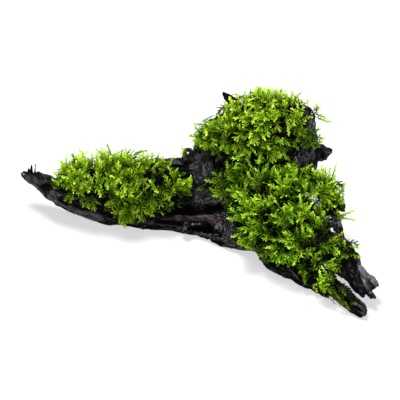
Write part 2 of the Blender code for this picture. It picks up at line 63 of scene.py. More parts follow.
# ---------------------------------------------------------------- the wood's strands, mm
STRANDS = {
    # left arm
    "rim": [(-108.8, 39.5, 21.4, 1.8), (-104, 37.5, 19.5, 2.4), (-95.5, 34.5, 16.8, 3.6), (-84.5, 28.5, 11.3, 4.6), (-73.5, 23.5, 7.5, 5.2), (-54.5, 18, 5.5, 5.5), (-36.5, 16.5, 5, 5.5), (-18, 14, 5, 5.5), (0, 7.5, 5, 5.5), (15, -1, 5, 6), (26.5, -8, 5.8, 5.2), (33.5, -14, 7.5, 4.0)],
    "arm_core": [(-103, 35.5, 21, 3.0), (-93, 30.5, 18.8, 5.6), (-80, 25, 17, 8.5), (-65.5, 22, 16, 10.5), (-48.5, 20.5, 15.5, 12), (-30, 20.5, 15.5, 12), (-12, 20, 16.5, 11.5), (3, 23, 15.5, 11)],
    "arm_back": [(-105, 37, 22, 1.7), (-97, 30, 22.6, 3.4), (-87, 23, 23.6, 5.0), (-68.5, 20, 27, 8), (-47.5, 20, 29, 9), (-30, 22.5, 31, 9), (-17, 27, 32, 7.5), (-5, 29, 31.5, 7), (7, 33, 36, 10)],
    "arm_tail": [(-86, 29.5, 13, 4), (-67, 24.5, 9, 7), (-46, 27.5, 7, 9), (-21.5, 31.5, 8, 11), (3, 33, 10, 13)],
    "tip_block": [(-102.5, 36, 22.3, 2.4), (-97, 32.5, 22.5, 2.6), (-90.5, 26.5, 24, 3.6)],
    "tip_splinter": [(-104.6, 36.8, 22.3, 1.3), (-104.3, 36.4, 24.5, 1.0), (-104.2, 36.2, 26.0, 0.6)],
    # front of the trunk: the ridge over the long groove, and the lip of the lower hollow
    "face_ridge": [(-27, 13, 10, 2.2), (-17, 11, 10.3, 2.9), (-6, 9.2, 10.6, 3.1), (5, 6.5, 10.8, 3.4), (14, 3, 11.5, 4.2), (22.5, -3.5, 11, 5)],
    "face_knot": [(11.5, 9.5, 14, 4), (17, 5.5, 14, 5.5), (21, -0.5, 12.5, 5.5), (23.5, -6, 10, 5)],
    "face_lip": [(-8.5, 4, 7, 3.5), (0, 4, 9, 3), (8.5, 1.5, 10, 3), (16.5, -2.5, 9.5, 4), (23.5, -8, 8.5, 4.5)],
    # trunk and upper lobe
    "body_low": [(-10.5, 22, 17.5, 11), (7.5, 23, 17.5, 11.5), (24, 15, 19.5, 12.5), (41.5, -9, 19.5, 12.5)],
    "body_a": [(-2.5, 27, 17, 12), (7.5, 28.5, 26.5, 14), (17, 33.5, 39, 15.5), (27.5, 37, 52, 14.5), (36.5, 37, 62.5, 11)],
    "body_b": [(19.5, 20, 16, 13), (27.5, 22, 26.5, 16), (38, 28, 39.5, 17.5), (47.5, 34, 51, 16.5), (53, 38, 59, 12)],
    "body_c": [(36.5, 6, 17, 14), (46.5, 16, 27.5, 15), (54.5, 25, 37, 14.2), (58, 33, 47, 12), (59.5, 39, 55, 9.2), (61.2, 43.5, 60, 6.6)],
    "left_shoulder": [(-6, 30, 24, 11), (1.5, 35, 32, 8.5), (6, 40, 42, 9.5), (13, 42, 53.5, 7.6), (24.5, 43, 61.5, 5.5)],
    "horn": [(27.5, 38, 60, 5.5), (21.8, 40, 68.5, 3.4), (17.4, 43, 72.9, 2.1), (13.9, 45, 75.4, 1.0)],
    "side_nub": [(63.5, 32, 42.5, 8), (70, 32, 42, 5.2), (74.5, 33, 41.5, 4.2), (78, 34, 41.5, 1.6)],
    "side_nub_low": [(60.5, 24, 36.5, 8), (65.5, 25.5, 36.5, 3.6), (67.5, 27, 36.5, 2.2)],
    "hook": [(0, 30, 38, 4), (-4.6, 28.5, 42, 1.9), (-5.1, 28, 45.8, 1.3), (-6.6, 28, 47.3, 1.2), (-8.4, 28, 47, 1.2), (-9.1, 28, 45, 1.2), (-8.6, 28, 41, 1.8)],
    # the branch that loops off the right of the trunk and comes back down to the root
    "knob": [(56, 16, 35.5, 9.5), (64.5, 12, 34, 6.4), (72, 7, 31.5, 5.2), (78, 0, 29, 4.2), (82, -4, 28, 2.8)],
    "strut": [(74.5, 3, 30.5, 4.2), (76.5, -6, 28, 3), (78.5, -13, 25, 2.7), (79.3, -19, 22, 2.6), (79.6, -25, 19, 3.7), (81, -30, 17.5, 4.5)],
    # right root and its three prongs
    "root_core": [(42, 3, 24.5, 13.5), (52, -9, 21, 12), (60.5, -20, 17.5, 10.5), (68, -29.5, 15, 8.5), (73.5, -36, 12.5, 6.5)],
    "root_front": [(29, -5, 15, 11.2), (40.5, -17, 13.4, 9.0), (51.5, -26.5, 11, 8.5), (61, -36, 9, 7), (68, -44.5, 7.5, 5)],
    "root_inner": [(54, 2, 28.5, 8), (59.5, -5, 27, 6.5), (65.5, -14, 23.5, 5.4), (70, -22, 19, 5.4), (73, -28.5, 16, 6)],
    "root_link": [(67, -27, 17, 7.5), (74.5, -28.5, 17.5, 6.5), (81, -31.5, 17, 6)],
    "prong_a": [(35.5, -25.5, 7, 1.6), (39, -28, 6.5, 3.4), (48, -33.5, 6, 4.5), (58, -40.5, 5, 4.1), (64.5, -46.5, 4, 3.2), (70, -53.5, 3.5, 1.3)],
    "prong_a_top": [(34.5, -17, 11.5, 5), (44.5, -26.5, 9, 6), (54, -35, 8, 5.2), (62, -42.5, 6.5, 4), (67, -48, 5, 2.6)],
    "prong_b": [(58, -28.5, 14, 8), (66, -39.5, 10.5, 5.2), (71.0, -46.5, 8, 4.7), (76.2, -53, 6, 4.4), (82.2, -60.8, 4.4, 3.9), (86.2, -65.4, 3.8, 3.4), (87.4, -66.8, 3.4, 2.9)],
    "plate_right": [(79.5, -31.5, 18.5, 4.6), (80.5, -36, 17, 4.2), (82.8, -42, 15, 4.0), (87.6, -48.5, 13, 4.2), (93.2, -53, 11, 4.0)],
    "plate_left": [(74, -37.5, 16, 5.5), (77.5, -43, 14, 4.6), (81.5, -48, 12, 4.3), (85.5, -53, 10, 4), (88, -57, 9, 2.8)],
    "plate_mid": [(77.5, -35.5, 18, 5.4), (81, -43.5, 15, 5), (85.5, -48.5, 12.5, 4.8), (90, -54, 10.5, 4.2)],
    "fray_a": [(90, -54.5, 10.5, 3.0), (92, -57, 9.5, 1.8)],
    "fray_b": [(93, -53, 11, 3.3), (95, -53.5, 11, 2.0)],
    # the side that faces away: the foot that carries the lobe, and the back of the arm
    "back_foot": [(20, 36, 32, 16), (26, 50, 20, 15), (30, 58, 9, 12)],
    "back_lobe": [(34, 44, 40, 15), (42, 52, 46, 13), (46, 54, 52, 11)],
    "back_arm": [(-62, 34, 12, 8), (-30, 36, 12, 11), (0, 38, 15, 14), (28, 42, 16, 15)],
    "back_heel": [(44, 36, 22, 15), (54, 46, 12, 11), (60, 52, 6, 7)],
    "strut_web": [(64, -6, 24, 4), (68.5, -7, 23.8, 5.0), (72.5, -10, 23.6, 5.4), (77, -12.5, 24.5, 3.4)],
    "root_shelf": [(79.5, -27, 17, 3.8), (83.2, -33.5, 16, 3.7), (86, -38.5, 16, 3.0), (86.8, -42, 15, 2.4)],
}

# Fine pieces of wood that a coarse grid would lose: splinters, the hook on the shoulder, frayed ends.
TWIGS = {
    "tip_splinter_a": [(-103.2, 36.2, 24, 1.1), (-102.8, 36.0, 27.5, 0.8), (-102.4, 36.0, 30.6, 0.55)],
    "tip_splinter_b": [(-100.9, 35.5, 23, 0.7), (-100.5, 35.5, 28, 0.42), (-99.9, 35.5, 31.9, 0.36)],
    "tip_splinter_c": [(-105.2, 37.0, 22, 1.5), (-104.9, 37.0, 25.0, 1.0), (-104.6, 37.0, 27.8, 0.4)],
    "fray_a": [(89, -54, 10.5, 2.6), (92.4, -57.6, 9, 1.7), (95, -61.0, 8, 1.0)],
    "fray_b": [(94, -53, 11, 3.1), (97, -54, 11, 1.4)],
    "fray_c": [(86.5, -55.5, 9.6, 2.2), (88.6, -59.2, 8.4, 1.0)],
    "fray_d": [(90, -55, 9.5, 1.6), (93.0, -60.5, 7.6, 0.7)],
    "nub_a": [(74, 32.5, 42.5, 2.6), (76.6, 32.2, 43.6, 1.5), (78.2, 32.0, 43.9, 1.1)],
    "nub_b": [(72.0, 30.5, 40.8, 3.0), (73.6, 29.9, 40, 2.2), (74.8, 29.4, 39.4, 1.0)],
}

# Angular pieces that stand out of the wood: the corners of each.
BLOCKS = {
    "arm_block": [(-98.3, 31, 28.6), (-91, 26.5, 27.4), (-88.5, 22.5, 26.2), (-97.5, 29, 26.0), (-99, 36, 24), (-90, 33, 24), (-88, 24, 23), (-99, 28, 22), (-101, 33, 27)],
    "arm_step": [(-90, 24, 26.8), (-84.5, 20.5, 27.2), (-84, 19, 24), (-90, 20.5, 23), (-88, 28, 22), (-84, 26, 24)],
    "lobe_notch": [(69, 30, 40.5), (75.2, 33, 39.4), (76, 33, 42.5), (74, 32, 45.2), (70.5, 31, 46), (69, 36, 42), (73, 38, 41)],
}

HOLLOWS = {
    "low_groove": [(-31, 10, 9, 1.0), (-22, 8.5, 7.6, 1.7), (-12, 6, 7.8, 2.0), (-6, 3, 8, 2.2)],
    "long_groove": [(-33, 9.5, 15, 2.4), (-16, 9.5, 16, 3.4), (0, 9.5, 16.5, 3.6), (15, 9, 17, 3.4), (25, 8, 18, 2.4)],
    "lower_hollow": [(-6, 2.5, 8, 2.2), (2, 1, 8.5, 3.2), (9.5, -0, 8.5, 2.8), (14, -2, 8.5, 1.6)],
}
GAPS = {
    "fork_slot": [(77.5, -24, -4), (84.5, -31, -4), (92.5, -47.5, -4), (94, -54, -4), (85, -40.5, -4), (78.5, -32, -4), (72, -59, 24), (78, -65, 24), (85.5, -80, 24), (87, -86.5, 24), (78.5, -74, 24), (73, -66, 24)],
    "fork_hole": [(71.5, -15, -4), (74, -15.5, -4), (76.5, -21, -4), (74, -22.5, -4), (71.5, -17.5, -4), (65, -58, 30), (67.5, -58, 30), (69.5, -63.5, 30), (67, -64.5, 30), (65, -60.5, 30)],
    "strut_hole": [(78, 13.5, 0), (80, 13, 0), (82.5, 7.5, 0), (81.5, 5.5, 0), (79, 8.5, 0), (69.5, -40.5, 40), (71.5, -40.5, 40), (73.5, -45.5, 40), (73, -47.5, 40), (70.5, -45, 40)],
}

# Thin places that keep a smooth surface: centre and radius.
THIN = [((-103.5, 36, 28.5), 6.5), ((-101, 35.5, 31), 5), ((-7, 28, 45), 4.5), ((93, -57, 8), 5), ((79, 32, 41), 4)]

# Marks of the wood's face as they are seen from the front and above, in four-hundredths of the view's width. Each is a
# line, half its width, how far it stands out or in, in mm, and how dark, how pale and how brown it is. The darkness in
# the grooves, hollows and creases is painted shade, the paleness is painted highlight and sheen and in part pale
# weathered wood, and the brown is the wood's own colour.
MARKS = [
    # the long groove in painted shade, the brown ridge under it with painted highlights, the dark band and the lower
    # hollow in painted shade, with its lip in painted highlight
    ([(150, 210), (162, 211), (175, 211.5), (190, 211), (203, 210.5), (213, 209), (222, 207.5), (231, 207)], 4.2, -0.9, 1, 0, 0),
    ([(163, 216), (170, 216.5), (178, 218), (188, 219), (198, 218.5), (205, 217.5), (213, 217.5), (218, 219)], 3.0, 0.45, -0.8, 0, 0.8),
    ([(169, 215.3), (175, 215.5), (181, 217)], 1.1, 0.2, 0, 0.15, 0), ([(187, 217.2), (195, 217), (201, 217)], 1.0, 0.2, 0, 0.12, 0),
    ([(175.5, 217), (178.8, 219)], 1.5, 0.1, 0, 0.5, -1), ([(201.5, 218.6), (203.5, 216.5), (206.5, 215), (210, 215.5), (213, 216.8)], 0.8, 0.1, 0.1, 0.30, -0.6),
    ([(208, 219.5), (213, 221), (217, 224.5)], 1.8, 0.3, -0.5, 0, 0.95), ([(203, 219), (203, 220.2)], 1.0, 0.1, 0, 0.35, 0),
    ([(157, 221.5), (170, 223), (182, 223), (192, 221.8), (201, 222), (207, 223.3), (213, 226)], 1.9, -0.5, 1, 0, 0),
    ([(151, 224), (165, 225.5), (181, 227)], 1.2, 0.1, -0.3, 0.12, 0.25),
    ([(186, 226.6), (188, 225.5), (192, 225), (196, 224.2), (199.8, 223.6)], 1.3, 0.3, 0, 0.75, 0), ([(184.5, 228), (184.3, 229.6)], 1.1, 0.2, 0, 0.7, 0),
    ([(190, 228.3), (198, 228.5), (206, 229), (211, 228.5)], 2.6, -0.6, 1, 0, 0), ([(213.5, 229.2), (217, 228)], 1.6, 0.2, 0, 0.85, 0),
    # growth lines around the knot, as painted highlights
    ([(216.5, 212.2), (220, 210.5), (222.6, 212), (224, 214.3)], 0.9, 0.25, 0, 0.6, 0),
    ([(216.4, 233.8), (213.5, 235.5), (210.6, 237.3)], 1.0, 0.25, 0, 0.8, 0), ([(219.5, 225), (221.5, 227), (221.4, 229.5)], 1.0, 0.2, 0, 0.85, 0),
    ([(230.5, 222), (231.5, 228), (229.5, 233)], 0.9, 0.2, 0, 0.6, 0), ([(221.5, 238.4), (227.5, 236.4), (232, 233.5)], 1.0, 0.2, 0, 0.65, 0),
    ([(229.5, 236), (231.5, 237.5)], 1.2, 0.1, 0, 0.6, 0), ([(232.3, 240), (233.6, 242)], 1.2, 0.1, 0, 0.6, 0), ([(235, 245), (237, 246.5)], 1.1, 0.1, 0, 0.6, 0),
    # the slope over the groove, with painted highlights on its wrinkles
    ([(213, 206), (216, 203), (218.6, 200.4)], 1.3, 0.3, 0, 0.75, 0), ([(222, 204), (226, 203.6), (229, 205.2), (232.5, 208.5)], 1.0, 0.25, 0, 0.5, 0.3),
    ([(194.5, 202.5), (198, 200)], 0.8, 0.15, 0, 0.6, 0), ([(196.5, 205.2), (200, 201.6), (201.6, 199.6)], 0.8, 0.15, 0, 0.65, 0),
    ([(199.5, 206.8), (203.2, 202.8)], 0.8, 0.15, 0, 0.65, 0), ([(203, 205.6), (205.8, 203)], 0.8, 0.15, 0, 0.6, 0),
    ([(206, 200), (209, 197.5), (212.5, 196.2), (214.6, 198.6)], 0.8, 0.15, 0, 0.5, 0), ([(177, 203), (182, 201.5)], 1.6, 0.1, 0, 0.3, 0.2),
    ([(186, 199), (190, 198.4)], 1.2, 0.1, 0, 0.3, 0), ([(203.3, 171), (207.5, 169.4)], 0.9, 0.2, 0, 0.6, 0), ([(202.3, 174), (207, 171.6)], 0.9, 0.2, 0, 0.65, 0),
    ([(205, 176), (208.6, 173)], 0.9, 0.2, 0, 0.65, 0), ([(206.5, 178.6), (209.8, 175.2)], 0.8, 0.15, 0, 0.6, 0), ([(209.5, 169.5), (212.6, 171.5)], 1.2, 0.2, 0, 0.6, 0),
    ([(200.5, 178.5), (203.5, 176)], 0.8, 0.15, 0, 0.45, 0), ([(193.5, 173), (195, 177.5)], 0.9, 0.15, 0, 0.45, 0), ([(195.2, 181.5), (198, 184.5)], 1.0, 0.15, 0, 0.5, 0),
    ([(200, 186.4), (206, 183.4)], 0.9, 0.15, 0, 0.4, 0), ([(213.5, 175), (213, 179)], 1.5, 0.1, 0, 0.4, 0),
    # the shoulder under the lobe, with painted highlights on its top edge and painted shade in its creases
    ([(166.5, 158.6), (170.5, 158.2)], 1.1, 0.1, 0, 0.7, 0), ([(172, 159.3), (176, 159.8), (180, 161.3), (184, 161.8)], 1.4, 0.1, 0, 0.5, 0),
    ([(197.5, 158.8), (201.5, 155.4), (206, 151)], 2.0, 0.35, -0.5, 0.5, 0.15), ([(194.5, 166.5), (196.5, 163)], 1.3, 0.1, 0, 0.1, 0.7),
    ([(186, 163), (186.5, 172), (188, 184)], 2.6, -0.3, 0.8, 0, 0), ([(212.5, 155), (214.5, 162), (214, 168)], 1.6, -0.5, 1, 0, 0),
    # the outer end of the arm, the painted reflection along its lower edge and the band of painted sheen under it
    ([(22.5, 174.8), (26, 176.6), (28, 178.5)], 2.4, 0.1, -0.4, 0.35, 0.25), ([(28, 180.8), (33, 183.6), (37, 187.5)], 1.3, 0.2, 0, 0.42, 0),
    ([(37, 178), (40, 177)], 1.2, 0.1, 0, 0.3, 0), ([(43.5, 180), (45, 181.6)], 1.0, 0.1, 0, 0.45, 0), ([(34, 176), (44, 181), (52, 186)], 1.0, -0.35, 0.8, 0, 0),
    ([(48, 195.6), (52, 198.8), (57, 201.3), (62, 205.2), (66, 207), (70, 209.6)], 1.4, 0.25, -0.3, 0.65, 0),
    ([(52, 191), (54, 193.6), (55.8, 196.4)], 1.0, 0.15, 0, 0.55, 0), ([(56.5, 191.6), (59, 193), (59.3, 196)], 1.2, 0.15, 0, 0.55, 0),
    ([(70, 206.5), (75, 209.4), (80, 211.8), (88, 213.4), (95, 214.8), (102, 217.4)], 2.8, 0.2, -0.5, 0.42, 0), ([(75, 212.5), (83, 216), (92, 218.3), (104, 220.6)], 1.6, 0.1, -0.3, 0.38, 0),
    ([(77, 213.6), (84, 215), (92, 216.4)], 0.8, -0.3, 0.8, 0, 0), ([(60, 199.5), (75, 206), (90, 209.8), (104, 212.4), (120, 214), (140, 214)], 2.4, -0.3, 0.8, 0, 0),
    # the lower prong
    ([(287, 266), (292, 271), (297.5, 277)], 0.9, 0.2, 0, 0.7, 0), ([(289, 271), (294, 275.5), (298, 279)], 0.8, 0.2, 0, 0.6, 0), ([(300, 262), (303.5, 266), (305, 272)], 0.9, 0.15, 0, 0.5, 0),
    ([(307, 277), (311, 280.6), (316, 286), (320.5, 291.4)], 1.0, 0.25, -0.3, 0.8, 0), ([(305, 279.4), (310, 284), (315, 288)], 0.9, 0.2, -0.2, 0.6, 0), ([(310.5, 278), (314.5, 281.8), (319.6, 287.6)], 0.8, 0.2, 0, 0.65, 0),
    ([(306, 278.2), (311, 282.6), (317.5, 289.4)], 0.6, -0.35, 1, 0, 0), ([(309, 277.6), (313.6, 282), (320, 289.4)], 0.6, -0.35, 1, 0, 0), ([(300.5, 270), (302, 276), (303.5, 283)], 1.8, -0.5, 1, 0, 0.1),
    ([(288, 278), (300, 284), (311, 289), (322, 294)], 1.4, -0.1, 0.8, 0, 0), ([(285, 268), (292, 275), (299, 281.4)], 0.7, -0.35, 1, 0, 0),
    # the middle prong
    ([(331, 295.4), (336, 299.4), (342, 303.4)], 1.9, 0.1, -0.3, 0.42, 0), ([(344, 302), (348, 306.4)], 1.0, 0.1, 0, 0.5, 0), ([(337, 290), (345, 295)], 1.6, 0.1, 0, 0.28, 0),
    ([(360.5, 306), (363.6, 309.4)], 1.3, 0.2, 0, 0.5, 0), ([(352, 295), (360, 301), (366, 307)], 0.9, 0.15, 0, 0.35, 0), ([(345, 300), (352, 305), (360, 310)], 1.2, -0.25, 0.7, 0, 0),
    # the end prong: the pale plate, the black face beside it and the frayed end
    ([(358.5, 265.5), (363, 270.5), (369, 277), (375.5, 283.4)], 3.0, 0.25, -1, 0.85, 0), ([(361, 268), (363, 276), (366.5, 284), (370, 291)], 3.0, 0.2, -0.8, 0.6, 0),
    ([(366, 274), (369, 279.5), (372, 284.6)], 0.9, -0.4, 0.9, -0.6, 0), ([(361.4, 279), (363.6, 286), (366, 292.6)], 0.9, -0.4, 0.9, -0.6, 0), ([(366.6, 281), (369, 286), (371, 290.6)], 0.7, -0.3, 0.8, -0.5, 0),
    ([(356.4, 263), (359, 270), (360.6, 277), (360.4, 283), (362, 289), (364, 294.6)], 1.1, -0.45, 1, -0.6, 0), ([(352, 262), (355, 270), (357, 280), (358, 290)], 2.4, -0.15, 0.9, -0.5, 0),
    ([(352.4, 269.6), (355.4, 276.4)], 0.9, 0.2, 0, 0.42, 0), ([(354, 283), (357.6, 288.6)], 0.9, 0.2, 0, 0.42, 0), ([(346, 270), (350, 278), (354, 287)], 1.6, -0.1, 0.8, -0.4, 0),
    # the branch that loops back to the root
    ([(331.5, 223.5), (335.5, 222.5)], 2.6, 0.1, -0.4, 0.45, 0), ([(336.5, 219.5), (341, 226)], 1.2, 0.15, 0, 0.35, 0), ([(340, 228), (344, 237)], 1.6, -0.2, 0.8, 0, 0),
    # the right side of the lobe, with painted highlights on the folds and painted shade in the deep hollow
    ([(304.5, 106), (308.5, 108.6), (313, 108)], 1.2, 0.2, 0, 0.35, 0.1), ([(309, 121.6), (310.4, 127)], 1.3, 0.2, 0, 0.5, 0), ([(313, 120), (314.2, 127)], 1.0, 0.2, 0, 0.32, 0),
    ([(305, 146.6), (305.2, 151), (308.4, 155.6)], 0.8, 0.25, 0, 0.65, 0), ([(299, 151.6), (298.8, 157.6), (301, 161.4)], 0.9, 0.25, 0, 0.3, 0.4), ([(295.6, 157.6), (297.8, 162), (299.8, 165.6)], 0.9, 0.25, 0, 0.85, 0),
    ([(303, 160.4), (306, 158.6), (309.4, 157.6)], 1.0, 0.2, 0, 0.6, 0), ([(301.6, 165.2), (305.6, 166), (309, 163.6), (311, 159.6)], 0.9, -0.4, 1, 0, 0.3), ([(311, 160.4), (313, 164.6), (315.4, 167.6)], 1.2, 0.2, 0, 0.55, 0),
    ([(312.4, 151), (313.8, 157)], 0.9, 0.15, 0, 0.4, 0), ([(309.6, 150), (311, 158), (314, 163)], 1.2, -0.4, 1, 0, 0), ([(316, 148), (320, 152), (323, 156)], 2.8, -0.1, 0.8, 0, 0),
    ([(327.4, 151.2), (330.4, 152.6)], 1.3, 0.1, -0.5, 0.75, 0), ([(289, 148), (290.4, 156)], 1.3, 0.1, 0, 0.45, 0), ([(292, 160), (295, 166), (300, 168)], 1.4, -0.25, 0.8, 0, 0),
]

# Where the wood's face is smoother than elsewhere, in the same view: across, down, half width, half height and how much.
SMOOTH = [(190, 214, 46, 11, 0.75), (222, 222, 13, 18, 0.6), (200, 186, 18, 24, 0.45), (80, 208, 34, 9, 0.55), (310, 282, 26, 14, 0.5), (362, 279, 22, 24, 0.45), (350, 303, 22, 12, 0.5), (38, 180, 22, 16, 0.35), (306, 156, 18, 14, 0.35)]

# Where fine wrinkles get a painted bluish sheen, in the same view: across, down, half width, half height and how much.
WRINKLE_SHEEN = [(204, 172, 12, 12, 1), (200, 203, 9, 7, 0.9), (211, 202, 9, 5, 0.6), (223, 223, 10, 16, 0.9), (194, 184, 7, 10, 0.6), (231, 240, 8, 7, 0.7), (56, 194, 7, 6, 0.7), (90, 215, 22, 5, 0.6), (312, 124, 5, 9, 0.6), (311, 137, 7, 9, 0.8), (308, 155, 12, 12, 0.6), (176, 161, 10, 5, 0.5), (312, 283, 12, 9, 0.4), (293, 271, 8, 8, 0.4), (340, 293, 12, 8, 0.6), (364, 279, 10, 14, 0.4), (335, 223, 6, 5, 0.6), (178, 201, 10, 4, 0.5), (40, 179, 12, 6, 0.3)]

# The knot on the lower face, in the same view: across, down, how much taller than wide its growth lines are, and how far apart.
KNOT = (219.2, 226.4, 1.35, 2.6)

# The forks: the piece that each cut takes, and the planes that bound it, as a point and the direction into the piece.
CUTS = [
    ("driftwood_left_arm", [((-24, 20, 15), (-1, 0.12, 0.1))]),
    ("driftwood_horn", [((20.2, 40, 68), (-0.55, 0.45, 0.7)), ((20, 40, 58), (0, 0, 1)), ((24, 40, 60), (-1, 0, 0))]),
    ("driftwood_side_nub", [((69, 32, 40), (0.97, 0.15, -0.05)), ((70, 18, 40), (0, 1, 0)), ((70, 30, 51), (0, 0, -1)), ((70, 30, 32), (0, 0, 1))]),
    ("driftwood_upper_lobe", [((30, 30, 45), (0.1, 0.05, 0.97))]),
    ("driftwood_lower_prong", [((52, -38.6, 7), (-0.64, -0.77, -0.05)), ((34.5, -22, 6), (0.9, -0.43, 0)), ((54, -40, 13), (0, 0, -1)), ((72, -56, 4), (-0.77, 0.64, 0))]),
    ("driftwood_end_prong", [((78.5, -37, 15), (0.5, -0.85, -0.15)), ((67.7, -35.5, 8.6), (0.61, 0.45, 0.65))]),
    ("driftwood_middle_prong", [((69, -44, 9), (0.62, -0.76, -0.2)), ((67.7, -35.5, 8.6), (-0.61, -0.45, -0.65))]),
    ("driftwood_loop_branch", [((70, 5, 35), (0.85, -0.5, 0.1)), ((79, -26, 20), (-0.1, 0.6, 0.8)), ((70.5, -10, 26), (0.9, 0.3, 0.25))]),
    ("driftwood_right_root", [((44, -10, 20), (0.72, -0.66, -0.2))]),
]


# ---------------------------------------------------------------- noise over many points at once
EDGES = np.array([(1, 1, 0), (-1, 1, 0), (1, -1, 0), (-1, -1, 0), (1, 0, 1), (-1, 0, 1), (1, 0, -1), (-1, 0, -1),
                  (0, 1, 1), (0, -1, 1), (0, 1, -1), (0, -1, -1), (1, 1, 0), (-1, 1, 0), (0, -1, 1), (0, -1, -1)], float)


def field(points, seed=0):
    """Smooth noise at each of the points, from about -1 to 1."""
    points = np.asarray(points, float)
    corner = np.floor(points).astype(np.int64)
    part = points - corner
    ease = part * part * part * (part * (part * 6 - 15) + 10)
    total = np.zeros(len(points))
    for dx in (0, 1):
        for dy in (0, 1):
            for dz in (0, 1):
                key = (corner[:, 0] + dx) * 73856093 ^ (corner[:, 1] + dy) * 19349663 ^ (corner[:, 2] + dz) * 83492791 ^ (seed * 40503 + 977)
                key = (key ^ (key >> 13)) * 1274126177
                key = (key ^ (key >> 16)) & 15
                slope = EDGES[key]
                away = part - (dx, dy, dz)
                weight = (ease[:, 0] if dx else 1 - ease[:, 0]) * (ease[:, 1] if dy else 1 - ease[:, 1]) * (ease[:, 2] if dz else 1 - ease[:, 2])
                total += weight * (away * slope).sum(1)
    return total


def step_up(value, low, high):
    t = np.clip((value - low) / (high - low), 0, 1)
    return t * t * (3 - 2 * t)


# ---------------------------------------------------------------- drawing the wood
def new_object(name, mesh):
    made = bpy.data.objects.new(name, mesh)
    bpy.context.scene.collection.objects.link(made)
    return made


def applied(item):
    """Applies the object's modifiers."""
    bpy.context.view_layer.update()
    graph = bpy.context.evaluated_depsgraph_get()
    mesh = bpy.data.meshes.new_from_object(item.evaluated_get(graph))
    item.modifiers.clear()
    old = item.data
    item.data = mesh
    bpy.data.meshes.remove(old)
    return mesh


def spline(points, step):
    ends = [tuple(2 * a - b for a, b in zip(points[0], points[1]))]
    tail = [tuple(2 * a - b for a, b in zip(points[-1], points[-2]))]
    knots = ends + [tuple(p) for p in points] + tail
    smooth = []
    for i in range(1, len(knots) - 2):
        p0, p1, p2, p3 = knots[i - 1 : i + 3]
        count = max(1, round(math.dist(p1[:3], p2[:3]) / step))
        for j in range(count):
            t = j / count
            smooth.append(tuple(0.5 * (2 * b + (c - a) * t + (2 * a - 5 * b + 4 * c - d) * t * t + (3 * b - a - 3 * c + d) * t ** 3) for a, b, c, d in zip(p0, p1, p2, p3)))
    smooth.append(tuple(points[-1]))
    return smooth


GRAIN = []  # per strand: centres, radii, directions, side vectors, length so far


def strand(target, points, phase, least=0.8, fluted=True):
    """A closed tube along the points whose section is a fluted, slightly twisting round, with domed ends."""
    line = spline(points, STRAND_STEP)
    centres = [Vector(p[:3]) for p in line]
    radii = [max(p[3], least) for p in line]
    first = (centres[1] - centres[0]).normalized()
    last = (centres[-1] - centres[-2]).normalized()
    rings = []
    for k in (1.0, 0.72, 0.38):
        rings.append((centres[0] - first * radii[0] * k, radii[0] * math.sqrt(1 - k * k) if k < 1 else 0.12 * radii[0], first))
    for i, (centre, radius) in enumerate(zip(centres, radii)):
        ahead = centres[min(i + 1, len(centres) - 1)] - centres[max(i - 1, 0)]
        rings.append((centre, radius, ahead.normalized()))
    for k in (0.38, 0.72, 1.0):
        rings.append((centres[-1] + last * radii[-1] * k, radii[-1] * math.sqrt(1 - k * k) if k < 1 else 0.12 * radii[-1], last))
    side = first.orthogonal().normalized()
    rows, sides = [], []
    scale = STRAND_STEP / 3.0
    for i, (centre, radius, ahead) in enumerate(rings):
        side = (side - ahead * side.dot(ahead)).normalized()
        other = ahead.cross(side)
        sides.append(side.copy())
        row = []
        for j in range(STRAND_SIDES):
            angle = 2 * math.pi * j / STRAND_SIDES
            flute = 1 + (0.09 * math.sin(3 * angle + phase + 0.11 * i * scale) + 0.06 * math.sin(5 * angle + 2.3 * phase - 0.07 * i * scale)) * fluted
            row.append(target.verts.new(centre + (side * math.cos(angle) + other * math.sin(angle)) * radius * flute))
        rows.append(row)
    for low, high in zip(rows, rows[1:]):
        for j in range(STRAND_SIDES):
            k = (j + 1) % STRAND_SIDES
            target.faces.new((low[j], low[k], high[k], high[j]))
    target.faces.new(list(reversed(rows[0])))
    target.faces.new(rows[-1])
    run = np.cumsum([0.0] + [(b - a).length for a, b in zip(centres, centres[1:])])
    return (np.array(centres), np.array(radii), np.array([tuple(r[2]) for r in rings[3:-3]]), np.array([tuple(s) for s in sides[3:-3]]), run)


def mesh_of(name, target):
    for vertex in target.verts:
        vertex.co = (vertex.co - Vector(CENTRE)) * MM
    bmesh.ops.recalc_face_normals(target, faces=target.faces)
    mesh = bpy.data.meshes.new(name)
    target.to_mesh(mesh)
    target.free()
    return mesh


def fused(item, voxel):
    remesh = item.modifiers.new("fuse", "REMESH")
    remesh.mode = "VOXEL"
    remesh.voxel_size = voxel * MM
    remesh.adaptivity = 0.0
    applied(item)
    keep_largest(item)


def keep_largest(item):
    """Drops crumbs and inner pockets."""
    mesh = item.data
    edges = np.empty(len(mesh.edges) * 2, np.int32)
    mesh.edges.foreach_get("vertices", edges)
    edges = edges.reshape(-1, 2)
    label = np.arange(len(mesh.vertices))
    while True:
        low = np.minimum(label[edges[:, 0]], label[edges[:, 1]])
        new = label.copy()
        np.minimum.at(new, edges[:, 0], low)
        np.minimum.at(new, edges[:, 1], low)
        new = new[new]
        if (new == label).all():
            break
        label = new
    names, counts = np.unique(label, return_counts=True)
    if len(names) > 1:
        drop = label != names[counts.argmax()]
        target = bmesh.new()
        target.from_mesh(mesh)
        target.verts.ensure_lookup_table()
        bmesh.ops.delete(target, geom=[target.verts[i] for i in np.nonzero(drop)[0]], context="VERTS")
        target.to_mesh(mesh)
        target.free()


def boolean(item, cutter, operation, solver="MANIFOLD"):
    cut = item.modifiers.new("cut", "BOOLEAN")
    cut.operation = operation
    cut.object = cutter
    cut.solver = solver
    applied(item)


def remove(item):
    bpy.data.objects.remove(item, do_unlink=True)


